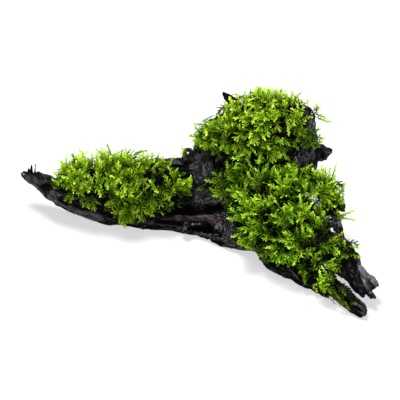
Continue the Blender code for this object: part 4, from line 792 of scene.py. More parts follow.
SPRIGS = {
    "arm_outer": [
        (65, 172, 60, 159.5, 1, 0.45, 0.95), (66, 169, 66.5, 155, 1, 0.4, 0.98), (77, 169, 76.5, 160, 1, 0.5, 0.95),
        (80, 168, 81.5, 154.5, 1, 0.45, 0.95), (92, 166, 92, 152, 1, 0.8, 0.9), (97, 166, 97, 151.5, 1, 0.9, 0.9),
        (102, 164, 102.5, 147, 1, 0.6, 1.0), (105, 165, 105.5, 149, 1, 0.7, 0.95), (62, 179, 53, 172.5, 1, 0.5, 0.95),
        (62, 183, 52.5, 180, 1, 0.6, 0.85), (64, 187, 53.5, 188, 1, 0.4, 0.45), (70, 176, 61, 166, 1.5, 0.9, 0.9),
        (76, 176, 71, 165, 1.5, 0.9, 0.9), (86, 176, 84, 162, 1.5, 1.0, 0.85), (100, 174, 99, 160, 1.5, 1.0, 0.85),
        (72, 188, 65, 201.5, 1, 0.8, 0.6), (74, 189, 70, 203, 1, 0.8, 0.65), (76, 188, 84, 196.5, 1, 0.7, 0.8),
        (72, 180, 66, 190, 2, 0.8, 0.7), (84, 178, 80, 190, 2, 0.9, 0.8), (90, 180, 88, 193, 2, 0.9, 0.8),
        (80, 194, 84, 207, 1, 0.7, 0.6), (86, 196, 89, 209, 1, 0.8, 0.7), (91, 197, 95, 211, 1, 0.8, 0.75),
        (95, 184, 101, 197, 2, 0.8, 0.8), (62, 176, 57, 184, 1, 0.8, 0.75), (78, 178, 74, 190, 2, 0.8, 0.65),
    ],
    "arm_middle": [
        (109, 167, 110, 155, 1, 0.8, 0.9), (116, 165, 116.5, 149.5, 1, 0.5, 0.95), (121, 170, 122, 153, 1.5, 1.0, 0.42),
        (126, 168, 127, 154, 1.5, 1.0, 0.5), (124, 164, 125.5, 151, 0, 0.3, 0.98), (131, 163, 133, 152.5, 0, 0.3, 0.98),
        (139, 164, 141, 153.5, 1, 0.6, 0.8), (114, 172, 122, 184, 3, 0.5, 0.6), (106, 178, 108, 190, 2, 0.9, 0.7),
        (108, 183, 117.5, 183, 2, 0.6, 0.85), (130, 182, 132, 169, 2, 0.7, 0.75), (120, 178, 130, 168, 2, 0.6, 0.75),
        (124, 180, 125, 193, 3, 1.0, 0.75), (132, 184, 121, 198, 3, 1.0, 0.75), (126, 186, 133, 197, 3, 0.9, 0.7),
        (140, 180, 149, 186, 2, 0.5, 0.9), (133, 176, 142, 181, 2, 0.7, 0.7), (112, 185, 118, 195, 2, 0.7, 0.7),
    ],
    "arm_hanging": [
        (120, 200, 104.5, 205, 1, 1.0, 0.75), (121, 202, 110.5, 202, 1.5, 0.7, 0.75), (124, 208, 111.5, 213, 1, 1.0, 0.85),
        (126, 210, 118.5, 221, 1, 0.9, 0.7), (126, 213, 124, 228, 1, 0.7, 0.85), (129, 212, 131, 222.5, 1, 0.9, 0.7),
        (132, 207, 140, 218, 1.5, 0.9, 0.85), (137, 206, 148, 214, 1.5, 0.8, 0.8), (144, 208, 154, 216.5, 1, 0.6, 0.85),
        (145, 206, 157, 210, 1, 0.6, 0.85), (142, 209, 144, 200, 1.5, 0.6, 0.75), (126, 204, 122, 214, 2, 1.0, 0.75),
        (132, 202, 133, 213, 2, 0.9, 0.7),
    ],
    "arm_inner": [
        (144, 167, 142, 152, 1, 0.8, 0.85), (148, 167, 147, 152.5, 1, 0.9, 0.85), (151, 165, 153, 151, 1, 0.7, 0.9),
        (155, 161, 160.5, 150.5, 0, 0.15, 0.9), (158, 168, 164, 156, 1, 0.9, 0.8), (166, 167, 175.5, 155, 0, 0.2, 0.8),
        (160, 170, 171, 162, 1, 0.7, 0.75), (150, 186, 158, 193, 2, 0.7, 0.85), (142, 172, 137, 190, 2, 0.6, 0.4),
        (148, 172, 141, 166, 2, 0.6, 0.6), (172, 193, 165, 175, 2, 1.0, 0.68), (172, 191, 180, 178, 2, 0.7, 0.6),
        (172, 193, 184, 182, 1, 0.8, 0.6), (163, 190, 170, 200.5, 1, 0.7, 0.7), (152, 196, 157, 206, 1, 0.8, 0.6),
        (158, 200, 163, 207, 1, 0.8, 0.55), (150, 200, 153, 208, 1, 0.7, 0.55), (158, 209.5, 163.5, 215, 0, 0.1, 0.75),
        (170, 177, 178, 168, 0, 0.1, 0.75), (176, 175, 186, 173, 0.5, 0.3, 0.5), (186, 193, 190.5, 184, 0.5, 0.4, 0.7),
        (185, 195, 192, 195, 0.5, 0.3, 0.7), (176, 190, 189, 190, 0.5, 0.5, 0.4), (164, 208, 174, 203, 0.5, 0.5, 0.5),
        (161, 186, 154, 196, 1, 0.8, 0.45), (158, 176, 152, 168, 1, 0.8, 0.5), (176, 203, 181, 208, 0, 0.25, 0.4),
    ],
    "lobe_left": [
        (208, 132, 205, 120, 0, 0.2, 0.30), (206, 125, 193, 124, 0, 0.3, 0.8), (201, 134, 194, 125, 1, 0.8, 0.85),
        (200, 138, 188.5, 135.5, 1, 0.7, 0.85), (204, 140, 193, 142, 1, 0.9, 0.75), (222, 126, 218, 114, 1, 0.6, 0.9),
        (227, 122, 224.5, 113, 1, 0.5, 0.85), (214, 132, 212, 122, 1, 0.9, 0.8), (231, 113, 223, 99.5, 1, 0.7, 0.9),
        (234, 110, 225.5, 109, 1, 0.8, 0.85), (238, 114, 229, 96.5, 2, 0.7, 0.85), (241, 108, 236.5, 93.5, 1, 0.7, 0.9),
        (243, 107, 246, 93.5, 1, 0.6, 0.9), (246, 108, 250, 98.5, 1, 0.8, 0.85), (186, 153, 181, 147.5, 0.5, 0.5, 0.85),
        (189, 154, 179.5, 153.5, 0.5, 0.5, 0.75), (194, 150, 186, 152, 0.5, 0.5, 0.7), (210, 142, 200, 147, 1.5, 0.8, 0.65),
        (216, 144, 212, 155, 1.5, 0.8, 0.55), (222, 140, 228, 154, 1.5, 0.6, 0.6), (226, 136, 220, 150, 1.5, 0.9, 0.6),
        (196, 142, 195, 149, 0.5, 0.6, 0.5),
    ],
    "lobe_crown": [
        (256, 102, 255.5, 88, 1, 0.5, 0.9), (261, 102, 261, 85.5, 1, 0.7, 0.9), (265, 100, 265.5, 86.5, 1, 0.7, 0.95),
        (271, 100, 271.5, 88, 1, 0.9, 0.9), (275, 99, 276.5, 87.5, 1, 0.8, 0.9), (281, 101, 282, 92, 1, 0.9, 0.85),
        (284, 102, 286.5, 91.5, 1, 0.8, 0.85), (290, 103, 293, 90.5, 1, 0.7, 0.85), (293, 105, 298, 93.5, 1, 0.7, 0.85),
        (296, 107, 301, 99, 1, 0.8, 0.8), (302, 107, 310.5, 100.5, 0.5, 0.4, 0.85), (297, 112, 305, 107, 1, 0.8, 0.8),
        (291, 124, 302, 113, 2, 0.9, 0.75), (296, 130, 306, 120, 1.5, 0.9, 0.75), (294, 122, 297, 110, 2, 0.6, 0.7),
        (300, 118, 313, 117, 1, 0.4, 0.8), (293, 134, 307, 129, 1.5, 0.8, 0.65), (286, 112, 284, 100, 2, 0.6, 0.7),
        (316, 113, 316.5, 103, 0.5, 0.6, 0.9), (317, 110, 321, 106, 0.5, 0.5, 0.9), (320, 113, 327.5, 119.5, 0.5, 0.6, 0.95),
    ],
    "lobe_front": [
        (286, 112, 289, 136, 3, 0.35, 0.75), (282, 108, 274, 122, 3, 0.7, 0.7), (268, 108, 264, 122, 3, 0.9, 0.75),
        (258, 110, 252, 124, 3, 0.9, 0.72), (250, 118, 242, 128, 3, 0.9, 0.7), (262, 120, 256, 132, 3, 1.0, 0.78),
        (266, 122, 268, 137, 3, 0.9, 0.72), (244, 132, 234, 140, 3, 0.9, 0.7), (252, 132, 258, 145, 3, 0.9, 0.75),
        (240, 140, 232, 150, 3, 0.9, 0.65), (242, 144, 251, 168, 3, 0.7, 0.42), (244, 142, 237, 158, 3, 1.0, 0.6),
        (264, 140, 270, 150, 3, 0.8, 0.72), (262, 148, 258.5, 164, 2, 0.7, 0.75), (266, 148, 276, 162, 2, 1.0, 0.72),
        (270, 148, 281, 158, 2, 0.8, 0.7), (280, 149, 290.5, 161, 2, 0.3, 0.75), (274, 136, 284, 145, 2, 0.7, 0.6),
        (284, 138, 290, 146, 2, 0.7, 0.6), (290, 140, 299, 150, 1.5, 0.6, 0.55), (296, 138, 300, 142, 1.5, 0.6, 0.5),
        (258, 134, 250, 144, 3, 0.9, 0.7), (276, 120, 280, 132, 3, 0.8, 0.62), (300, 132, 297, 142, 1.5, 0.8, 0.65),
        (302, 124, 304, 138, 1.5, 0.7, 0.65), (296, 122, 300, 136, 2, 0.9, 0.7), (294, 112, 294, 126, 2, 0.8, 0.7),
        (304, 134, 314, 148, 1, 0.8, 0.42), (310, 134, 318, 148, 0.8, 0.8, 0.40), (308, 128, 314, 138, 0.8, 0.8, 0.30),
        (317, 138, 321, 134.5, 0.5, 0.5, 0.8), (317, 140, 325, 138.5, 0.5, 0.5, 0.85), (316, 143, 323.5, 142, 0.5, 0.5, 0.8),
        (316, 132, 319, 127.5, 0.5, 0.5, 0.8), (306, 128, 304, 136, 0.6, 0.8, 0.30), (312, 130, 311, 138, 0.6, 0.8, 0.28),
        (309, 134, 305, 142, 0.6, 0.8, 0.34), (314, 134, 315, 143, 0.6, 0.8, 0.36), (310, 139, 309, 147, 0.6, 0.8, 0.38),
        (304, 138, 301, 146, 0.6, 0.8, 0.36), (315, 140, 320, 147, 0.6, 0.7, 0.5), (313, 126, 316, 132, 0.6, 0.7, 0.32),
        (307, 141, 304, 148.5, 0.6, 0.7, 0.42), (312, 143, 314, 149, 0.6, 0.7, 0.5),
    ],
    "trunk_upper": [
        (228, 180, 227, 161, 2, 0.6, 0.55), (237, 180, 236, 162.5, 2, 0.6, 0.58), (226, 186, 204.5, 180, 1.5, 1.0, 0.6),
        (223, 180, 212, 172, 1, 0.9, 0.45), (226, 190, 209.5, 189.5, 1.5, 1.0, 0.66), (227, 192, 212.5, 196, 1.5, 1.0, 0.6),
        (228, 193, 220, 199, 1.5, 0.8, 0.5), (206, 189, 198, 189.5, 0.5, 0.7, 0.35), (244, 194, 226, 189, 2, 1.0, 0.7),
        (248, 184, 252.5, 184, 2, 0.5, 0.65), (240, 182, 243.5, 176, 2, 0.6, 0.65), (250, 172, 244, 184, 2, 0.9, 0.4),
        (287, 196, 275, 168.5, 3, 1.0, 0.74), (288, 195, 287, 174, 3, 0.9, 0.66), (286, 194, 268, 184, 3, 0.9, 0.74),
        (287, 192, 297, 168, 1, 0.25, 0.6), (285, 197, 277, 186, 3, 1.0, 0.74), (262, 186, 252, 178, 2, 0.9, 0.36),
        (300, 170, 296, 180, 1, 0.8, 0.35), (282, 166, 290, 176, 1, 0.8, 0.35), (222, 168, 219, 175, 1, 0.7, 0.4),
    ],
    "trunk_lower": [
        (252, 200, 236, 191, 3, 1.0, 0.78), (254, 204, 232, 196, 3, 1.0, 0.72), (254, 212, 246, 200, 3, 1.0, 0.75),
        (240, 216, 230, 208.5, 1.5, 0.8, 0.7), (243, 219, 226.5, 218.5, 1.5, 0.8, 0.75), (242, 212, 257, 214.5, 3, 0.35, 0.8),
        (262, 228, 241, 229, 3, 1.1, 0.78), (266, 226, 252, 221, 3, 1.0, 0.78), (266, 234, 250, 233, 3, 1.0, 0.74),
        (270, 234, 263, 240, 3, 0.8, 0.65), (268, 238, 275, 241, 2, 0.6, 0.6), (243, 233, 231, 237.5, 1.5, 0.7, 0.7),
        (246, 236, 240, 244, 1.5, 0.8, 0.6), (256, 236, 250, 240, 2, 0.7, 0.6), (266, 200, 258, 206, 2, 0.8, 0.6),
        (270, 196, 268, 206, 2, 0.8, 0.55),
    ],
    "root_front": [
        (250, 247, 237, 242.5, 1, 0.6, 0.6), (262, 251, 244, 246, 1, 0.6, 0.62), (270, 252, 260, 256, 1, 0.8, 0.5),
        (290, 222, 270.5, 214.5, 3, 1.0, 0.74), (292, 225, 273, 222, 3, 0.9, 0.68), (302, 210, 284, 206, 3, 1.0, 0.7),
        (296, 236, 282.5, 232, 2.5, 0.6, 0.8), (302, 244, 279, 240, 2.5, 0.9, 0.75), (304, 248, 290, 247, 2.5, 0.9, 0.7),
        (300, 250, 293, 265.5, 2, 0.6, 0.74), (302, 248, 301, 257, 2.5, 0.8, 0.75), (298, 226, 300, 212, 3, 0.9, 0.72),
        (303, 222, 311, 232, 2.5, 0.8, 0.7), (302, 236, 311, 236, 2.5, 0.6, 0.72), (306, 214, 296, 222, 3, 0.9, 0.72),
        (304, 252, 312, 254, 2, 0.8, 0.72), (313, 266, 316, 253, 1.5, 0.9, 0.66), (306, 271, 298.5, 273, 1, 0.7, 0.5),
        (306, 272, 304.5, 284, 1, 0.6, 0.55), (308, 270, 318, 268, 1, 0.7, 0.45), (284, 252, 282, 262, 1.5, 0.9, 0.4),
        (292, 206, 303, 206, 3, 0.8, 0.74), (285, 212, 293, 224, 3, 0.8, 0.66),
    ],
    "shoulder": [
        (322, 184, 312, 168, 1.5, 0.9, 0.9), (325, 184, 321, 166, 1.5, 0.8, 0.92), (330, 186, 329, 170, 1.5, 0.9, 0.92),
        (330, 184, 337, 162, 1, 0.4, 0.95), (331, 184, 336.5, 174, 1, 0.7, 0.92), (330, 189, 337, 182.5, 0.5, 0.3, 0.92),
        (338, 197, 346, 181.5, 1, 0.45, 0.95), (339, 199, 337, 190, 1, 0.8, 0.92), (340, 200, 344, 193.5, 1, 0.6, 0.92),
        (305, 180, 307, 166.5, 1.5, 0.8, 0.8), (314, 182, 313, 169, 1.5, 0.8, 0.85), (302, 186, 297, 178, 2, 0.8, 0.6),
        (310, 190, 303, 182, 2, 0.7, 0.66), (316, 188, 306, 190, 2, 0.7, 0.66), (326, 192, 318, 184, 2, 0.7, 0.6),
        (335, 204, 345, 202.5, 0.8, 0.4, 0.85), (336, 202, 342, 198, 0.8, 0.6, 0.8), (328, 204, 336, 207, 1, 0.6, 0.75),
        (322, 194, 330, 203, 1.5, 0.8, 0.66), (318, 208, 324, 216, 1, 0.8, 0.6), (324, 186, 334, 195, 1.5, 0.7, 0.6),
    ],
    "root_back": [
        (334, 218, 356, 210, 1, 0.3, 0.9), (336, 218, 358, 221, 1, 0.25, 0.95), (333, 216, 340, 211, 1, 0.8, 0.85),
        (335, 219, 347, 214, 1, 0.5, 0.85), (336, 240, 344, 231, 1, 0.4, 0.72), (346, 250, 344, 240, 0.8, 0.4, 0.8),
        (349, 246, 359.5, 248.5, 0.5, 0.45, 0.92), (350, 254, 362, 257.5, 0.5, 0.4, 0.85), (332, 244, 340, 254, 1.5, 0.5, 0.8),
        (334, 246, 335, 236, 1.5, 0.8, 0.6), (330, 252, 338, 254, 1.5, 0.7, 0.7), (322, 262, 332, 266, 1.5, 0.8, 0.55),
        (338, 252, 348, 257.5, 1, 0.6, 0.65), (340, 264, 336, 272, 1, 0.8, 0.4), (326, 248, 318, 254, 1.5, 0.8, 0.5),
    ],
    "prong_fringe": [
        (320, 278, 325, 293, 1, 0.8, 0.5), (317, 278, 322, 289, 1, 0.8, 0.46), (326, 282, 331, 294, 1, 0.7, 0.3),
        (330, 286, 340, 299, 0.8, 0.6, 0.25), (340, 299, 349.5, 309.5, 0.8, 0.4, 0.52), (351, 302, 357, 304, 0.6, 0.5, 0.4),
        (340, 286, 346, 296, 1, 0.8, 0.2), (326, 276, 334, 278, 1, 0.6, 0.35), (344, 284, 352, 292, 0.6, 0.6, 0.35),
        (334, 284, 330, 276, 1, 0.7, 0.2),
    ],
}

# Thin, nearly bare stems: the way each runs, as seen from the front and above, and the tone of its few leaves.
STEMS = {
    "lobe_left": [([(194, 147), (194, 153), (193.5, 160), (191.5, 165), (189.5, 169), (191, 172), (193.5, 172)], 0.7)],
    "lobe_crown": [([(315, 116), (319, 118.5), (323, 120), (327, 122), (333, 121.5)], 0.85)],
}


def unit(vectors):
    length = np.sqrt((vectors ** 2).sum(-1, keepdims=True))
    return vectors / np.maximum(length, 1e-9)


class Growth:
    """Collects the quads of the shoots, with a place in the palette at each corner."""

    def __init__(self):
        self.points, self.quads, self.places, self.count = [], [], [], 0

    def add(self, points, quads, places):
        self.points.append(points.reshape(-1, 3))
        self.quads.append(quads.reshape(-1, 4) + self.count)
        self.places.append(places.reshape(-1, 4, 2))
        self.count += points.reshape(-1, 3).shape[0]

    def shoots(self, points, facing, width, low, high, hue, rng):
        """Leafy shoots, all with the same number of leaves: their axis points (M, K + 1, 3) and facing (M, K + 1, 3)."""
        m, k = points.shape[0], points.shape[1] - 1
        if m == 0 or k < 1:
            return
        ahead = unit(np.diff(points, axis=1))
        ahead = np.concatenate([ahead, ahead[:, -1:]], 1)
        side = unit(np.cross(ahead, facing))
        up = np.cross(side, ahead)
        step = np.sqrt((np.diff(points, axis=1) ** 2).sum(2)).mean(1)[:, None, None]
        run = np.linspace(0, 1, k + 1)
        shape = np.clip(np.minimum(0.75 + 1.6 * run, 1.0), 0, 1) * np.where(run > 0.80, 1 - (run - 0.80) * 1.9, 1.0)
        shape = shape[:k]
        all_points = [points]
        per = {}
        for sign in (-1, 1):
            wide = width[:, None] * shape[None] * rng.uniform(0.82, 1.18, (m, k))
            wide = wide[:, :, None]
            lift_a = rng.uniform(0.10, 0.28, (m, k, 1)) * width[:, None, None]
            lift_b = rng.uniform(0.20, 0.48, (m, k, 1)) * width[:, None, None]
            reach = np.ones((m, k, 1)) * 0.98
            reach[:, -1] = 1.2
            out = np.ones((m, k, 1))
            out[:, -1] = 0.55
            near_leaf = points[:, :k] + ahead[:, :k] * step * 0.10 + side[:, :k] * sign * wide * 0.80 + up[:, :k] * lift_a
            far_leaf = points[:, :k] + ahead[:, :k] * step * reach + side[:, :k] * sign * wide * out + up[:, :k] * lift_b
            per[sign] = len(all_points)
            all_points += [near_leaf, far_leaf]
        stacked = np.concatenate(all_points, 1)
        size = stacked.shape[1]
        base = (np.arange(m) * size)[:, None]
        i = np.arange(k)[None]
        start, end = base + i, base + i + 1
        tone = low[:, None] + (high - low)[:, None] * run[None]
        quads, places = [], []
        for sign in (-1, 1):
            first = (k + 1) if sign == -1 else (k + 1) + 2 * k
            a = base + first + i
            b = base + first + k + i
            quads.append(np.stack([start, a, b, end] if sign == 1 else [start, end, b, a], -1))
            speckle = rng.normal(0, 0.045, (m, k))
            u0, u1 = tone[:, :k] + speckle * 0.5, tone[:, 1:] + speckle
            ua, ub = u0 + 0.02, u1 + 0.035
            v = hue[:, None] + np.zeros((m, k))
            if sign == 1:
                corner = [(u0, v), (ua, v + 0.012), (ub, v + 0.02), (u1, v + 0.002)]
            else:
                corner = [(u0, v), (u1, v + 0.002), (ub, v + 0.02), (ua, v + 0.012)]
            places.append(np.stack([np.stack(c, -1) for c in corner], -2))
        self.add(stacked, np.concatenate(quads, 1), np.concatenate(places, 1))

    def stem(self, points, radius, tone, hue):
        """A thin three-sided stem along the points (N, 3)."""
        n = len(points)
        ahead = unit(np.gradient(points, axis=0))
        side = unit(np.cross(ahead, np.array((0.31, 0.52, 0.79))))
        up = np.cross(side, ahead)
        rings = []
        for j in range(3):
            angle = 2 * math.pi * j / 3
            rings.append(points + (side * math.cos(angle) + up * math.sin(angle)) * radius)
        stacked = np.stack(rings, 1)
        i = np.arange(n - 1)[:, None]
        j = np.arange(3)[None]
        quads = np.stack([i * 3 + j, i * 3 + (j + 1) % 3, (i + 1) * 3 + (j + 1) % 3, (i + 1) * 3 + j], -1)
        u = np.broadcast_to(np.array(tone), (n - 1, 3))
        v = np.full((n - 1, 3), hue)
        places = np.stack([np.stack((u, v), -1), np.stack((u + 0.02, v), -1), np.stack((u + 0.02, v + 0.02), -1), np.stack((u, v + 0.02), -1)], -2)
        self.add(stacked, quads, places)


def bezier(points, count):
    t = np.linspace(0, 1, count)[:, None]
    a, b, c, d = points
    return a * (1 - t) ** 3 + 3 * b * t * (1 - t) ** 2 + 3 * c * t * t * (1 - t) + d * t ** 3


def frond(batch, growth, rng, root, normal, tip, facing, brightness, hue, size=1.0, bare=0.3, spread=1.0, along=None, roll_share=0.22):
    """One fir-like frond from its root on the bark to its tip: dark and brown low down, partly older growth and partly
    painted shade, bright at its outer ends.
    """
    span = np.linalg.norm(tip - root)
    if along is None:
        along = unit(tip - root)
    axis = bezier((root - normal * 0.5, root + normal * span * 0.42 + rng.normal(0, 0.4, 3), tip - along * span * 0.42 + rng.normal(0, 0.4, 3), tip), 25)
    frond_on(batch, growth, rng, axis, facing, brightness, hue, size, bare, spread, roll_share)


def frond_on(batch, growth, rng, axis, facing, brightness, hue, size, bare, spread, roll_share):
    """The leaves and side shoots along an axis."""
    gaps = np.sqrt((np.diff(axis, axis=0) ** 2).sum(1))
    run = np.concatenate([[0], np.cumsum(gaps)])
    length = run[-1]

    def at(s):
        return np.stack([np.interp(s, run, axis[:, c]) for c in range(3)], -1)

    start = bare * length
    leaves = max(3, int(round((length - start) / LEAF_STEP)))
    s = np.linspace(start, length, leaves + 1)
    line = at(s)
    ahead = unit(np.gradient(line, axis=0))
    roll = unit(facing + rng.normal(0, roll_share, 3))
    up = unit(roll - ahead * (ahead * roll).sum(1, keepdims=True))
    batch.setdefault(leaves, []).append((line, up, 0.52 * size, 0.13 + 0.10 * brightness, 0.36 + 0.60 * brightness, hue))
    growth.stem(at(np.linspace(0, start + 0.8, 4)), 0.17, 0.04 + 0.10 * rng.random(), hue)
    # side shoots
    side = np.cross(ahead, up)
    pitch = rng.uniform(0.95, 1.25) * (0.7 + 0.3 * min(spread, 1.0))
    positions = np.arange(start * 0.92, length - 1.2, pitch)
    longest = max(rng.uniform(3.6, 5.6) * size * spread, 1.9)
    width = rng.uniform(0.36, 0.47) * size * (0.8 + 0.2 * min(spread, 1.0))
    for index, place in enumerate(positions):
        x = float(np.clip((place - start) / (length - start), 0, 1))
        reach = longest * min(1.0, 0.5 + 2.2 * x) * (1 - x) ** 0.60 * rng.uniform(0.55, 1.2)
        if reach < 1.1 and spread > 0.2:
            reach = 1.2 if x < 0.88 else 0
        if reach < 1.0:
            continue
        sign = 1 if index % 2 else -1
        j = int(np.clip(round(x * leaves), 0, leaves))
        angle = math.radians(54 - 18 * x + rng.normal(0, 9))
        direction = ahead[j] * math.cos(angle) + side[j] * sign * math.sin(angle) + up[j] * rng.normal(0.04, 0.20)
        count = max(2, int(round(reach / LEAF_STEP)))
        t = np.linspace(0, 1, count + 1)[:, None]
        curl = ahead[j] * rng.uniform(0.15, 0.42) + up[j] * rng.normal(0.03, 0.16)
        shoot = at(place) + reach * (direction * t + curl * t * t)
        face = up[j] - unit(direction) * (up[j] * unit(direction)).sum()
        face = unit(face + side[j] * sign * rng.uniform(-0.7, 0.7))
        base = 0.16 + 0.10 * brightness + 0.36 * x * brightness
        base += rng.normal(0, 0.05)
        high = base + 0.08 + 0.50 * brightness * (0.5 + 0.5 * x) * rng.uniform(0.5, 1.25)
        batch.setdefault(count, []).append((shoot, np.broadcast_to(face, shoot.shape), width, base, high, hue + rng.normal(0, 0.03)))


def grown(name, batch, growth, rng):
    for count, items in sorted(batch.items()):
        growth.shoots(
            np.stack([item[0] for item in items]),
            np.stack([item[1] for item in items]),
            np.array([item[2] for item in items]),
            np.array([item[3] for item in items]),
            np.clip([item[4] for item in items], 0.05, 0.95),
            np.clip([item[5] for item in items], 0.02, 0.95),
            rng,
        )
    points = np.concatenate(growth.points)
    quads = np.concatenate(growth.quads)
    places = np.clip(np.concatenate(growth.places), 0.004, 0.996)
    mesh = bpy.data.meshes.new(name)
    mesh.from_pydata((points - CENTRE) * MM, [], quads)
    layer = mesh.uv_layers.new(name="OFBake")
    layer.data.foreach_set("uv", places.astype(np.float32).ravel())
    mesh.update()
    mesh.shade_smooth()
    return new_object(name, mesh)


def surface_of(item):
    """Corners, normals and areas of the triangles of a plain cushion, in drawing mm."""
    mesh = item.data
    mesh.calc_loop_triangles()
    co = np.array([tuple(vertex.co) for vertex in mesh.vertices]) / MM + CENTRE
    index = np.array([tuple(t.vertices) for t in mesh.loop_triangles])
    corners = co[index]
    cross = np.cross(corners[:, 1] - corners[:, 0], corners[:, 2] - corners[:, 0])
    area = np.sqrt((cross ** 2).sum(1)) / 2
    return corners, cross / np.maximum(2 * area, 1e-9)[:, None], area


def bark_tree(solid):
    points, _ = places(solid)
    return BVHTree.FromPolygons(points.tolist(), [tuple(p.vertices) for p in solid.polygons])


def bark_under(tree, place):
    found = tree.find_nearest(Vector(place))
    return np.array(found[0]), np.array(found[1]), found[3]


VIEW_FORWARD = np.array((0.0, math.cos(VIEW_RISE), -math.sin(VIEW_RISE)))
VIEW_UP = np.array((0.0, math.sin(VIEW_RISE), math.cos(VIEW_RISE)))
VIEW_EYE = VIEW_TARGET - VIEW_FORWARD * VIEW_DISTANCE


def seen(across, down):
    """The direction from the viewer to a place in the view, in drawing coordinates."""
    scale = 36.0 / VIEW_LENS / 400.0
    return unit(VIEW_FORWARD + np.array((1.0, 0, 0)) * (across - 200) * scale + VIEW_UP * (200 - down) * scale)


def in_circle(spots, circles):
    for spot in spots:
        away = spot - VIEW_EYE
        depth = (away * VIEW_FORWARD).sum()
        scale = 400.0 * VIEW_LENS / 36.0 / depth
        across, down = 200 + away[0] * scale, 200 - (away * VIEW_UP).sum() * scale
        if any((across - x) ** 2 + (down - y) ** 2 < radius ** 2 for x, y, radius in circles):
            return True
    return False


def make_cushion(name, settings, tree, others, seed):
    rng = np.random.default_rng(seed)
    corners, normals, area = surface_of(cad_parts["moss_" + name])
    total = area.sum()
    tries = int(total * 1.2)
    chosen = rng.choice(len(area), tries, p=area / total)
    weight = rng.random((tries, 2))
    flip = weight.sum(1) > 1
    weight[flip] = 1 - weight[flip]
    c = corners[chosen]
    spots = c[:, 0] + (c[:, 1] - c[:, 0]) * weight[:, :1] + (c[:, 2] - c[:, 0]) * weight[:, 1:]
    clump = field(spots / 6.5, 61)
    hole = field(spots / 4.6, 62)
    age = field(spots / 5.5, 66)
    sway = np.stack([field(spots / 8.0, 63), field(spots / 8.0, 64), field(spots / 8.0, 65)], 1) * 1.3
    centre = (corners.mean(1) * area[:, None]).sum(0) / total
    own = BVHTree.FromPolygons(corners.reshape(-1, 3).tolist(), np.arange(len(corners) * 3).reshape(-1, 3).tolist())
    spacing = 0.74 / math.sqrt(FRONDS_PER_MM2 * settings["thick"])
    taken = []
    batch, growth = {}, Growth()
    outward_share, up_share, chance_share = settings["lean"]
    flow = np.array(settings["flow"])
    for spot, normal, swell, thin, way, old in zip(spots, normals[chosen], clump, hole, sway, age):
        if taken and (((np.array(taken) - spot) ** 2).sum(1) < spacing ** 2).any():
            continue
        hit, bark, distance = bark_under(tree, spot)
        if distance < 1.3:
            continue
        if any(other.find_nearest(Vector(spot))[3] < 0.55 for other in others):
            continue
        taken.append(spot)
        outward = unit(normal + 0.35 * unit(spot - hit))
        span = rng.uniform(11, 17)
        draw = rng.random()
        edge = 1 - abs(float((normal * VIEW_FORWARD).sum()))
        # tone: lighter where the cushion faces up and where its clumps swell out, as painted light from above
        tone = settings["tone"] - 0.05 + rng.normal(0, 0.16) + 0.42 * max(normal[2], -0.4) + 0.75 * swell
        spread, bare = rng.choice((0.5, 0.75, 1.0, 1.15)), 0.30
        if draw < settings.get("deep", 0.25) or thin < -0.24:
            tip = spot - outward * rng.uniform(2.0, 5.0)
            # painted shade on the fronds that lie deep, less of it towards the cushion's outline
            tone -= (0.42 - 0.25 * max(normal[2], 0)) * (1 - 0.6 * max(edge - 0.4, 0) / 0.6)
            bare = 0.15
        elif draw > 0.80 and normal[2] > 0.2:
            tip = spot + outward * rng.uniform(1.5, 4.5) + np.array((0, 0, 1.0))
            tone += 0.2
            spread = 0.55
        else:
            tip = spot + outward * (rng.uniform(-1.6, 0.8) + 2.6 * swell)
        lean = outward_share * unit(spot - centre) + flow + way + rng.normal(0, 0.6, 3) * chance_share
        lean[2] += up_share * np.clip(2.2 * normal[2] + 0.1, -1, 1)
        lean = unit(lean - outward * (lean * outward).sum() * 0.8)
        back = math.sqrt(max(span ** 2 - distance ** 2, 9.0)) * 0.72
        root, bark, gap = bark_under(tree, spot - lean * back - outward * distance * 0.6)
        length = np.linalg.norm(tip - root)
        if length > 20:
            root, bark, gap = bark_under(tree, spot - lean * back * 0.4 - outward * distance * 0.8)
            length = np.linalg.norm(tip - root)
        if length < 4.5:
            continue
        if (normal * VIEW_FORWARD).sum() < 0.15 and in_circle((tip, tip * 0.75 + root * 0.25, spot), OPENINGS):
            continue
        if in_circle((tip, tip * 0.75 + root * 0.25), OUTSIDE):
            continue
        # painted light: fronds on the outline are lighter, as if lit through against the pale backdrop
        tone += 0.20 * edge * edge
        if edge > 0.75:
            tone = max(tone, 0.40)
        facing = unit(outward + 0.25 * lean - 1.4 * edge * edge * VIEW_FORWARD + rng.normal(0, 0.16, 3))
        hue = float(np.clip(rng.normal(settings.get("hue", 0.30) + 0.3 * tone, 0.2), 0.05, 0.93))
        if old > 0.26 and rng.random() < 0.5:
            hue, tone = 1.0, min(tone, 0.62)
        way_out = unit(lean + 0.15 * outward + 0.25 * unit(tip - root))
        frond(batch, growth, rng, root, bark, tip, facing, float(np.clip(tone, 0.03, 1.0)), hue, rng.uniform(0.85, 1.12), bare, spread, way_out)
    add_sprigs(name, batch, growth, rng, tree, others + [own])
    return grown("fronds_" + name, batch, growth, rng), len(taken)


def met(trees, direction):
    """The nearest point of the trees that the direction meets, and its normal and distance, or None."""
    best = None
    for tree in trees:
        place, normal, _, distance = tree.ray_cast(Vector(VIEW_EYE), Vector(direction), 900.0)
        if place is not None and (best is None or distance < best[2]):
            best = (np.array(place), np.array(normal), distance)
    return best


def closest_bark(tree, direction):
    """The bark point that lies closest to a direction that passes the wood."""
    best = None
    for distance in np.arange(540.0, 670.0, 4.0):
        place, normal, _, gap = tree.find_nearest(Vector(VIEW_EYE + direction * distance))
        if best is None or gap < best[2]:
            best = (np.array(place), np.array(normal), gap)
    return best[0], best[1]


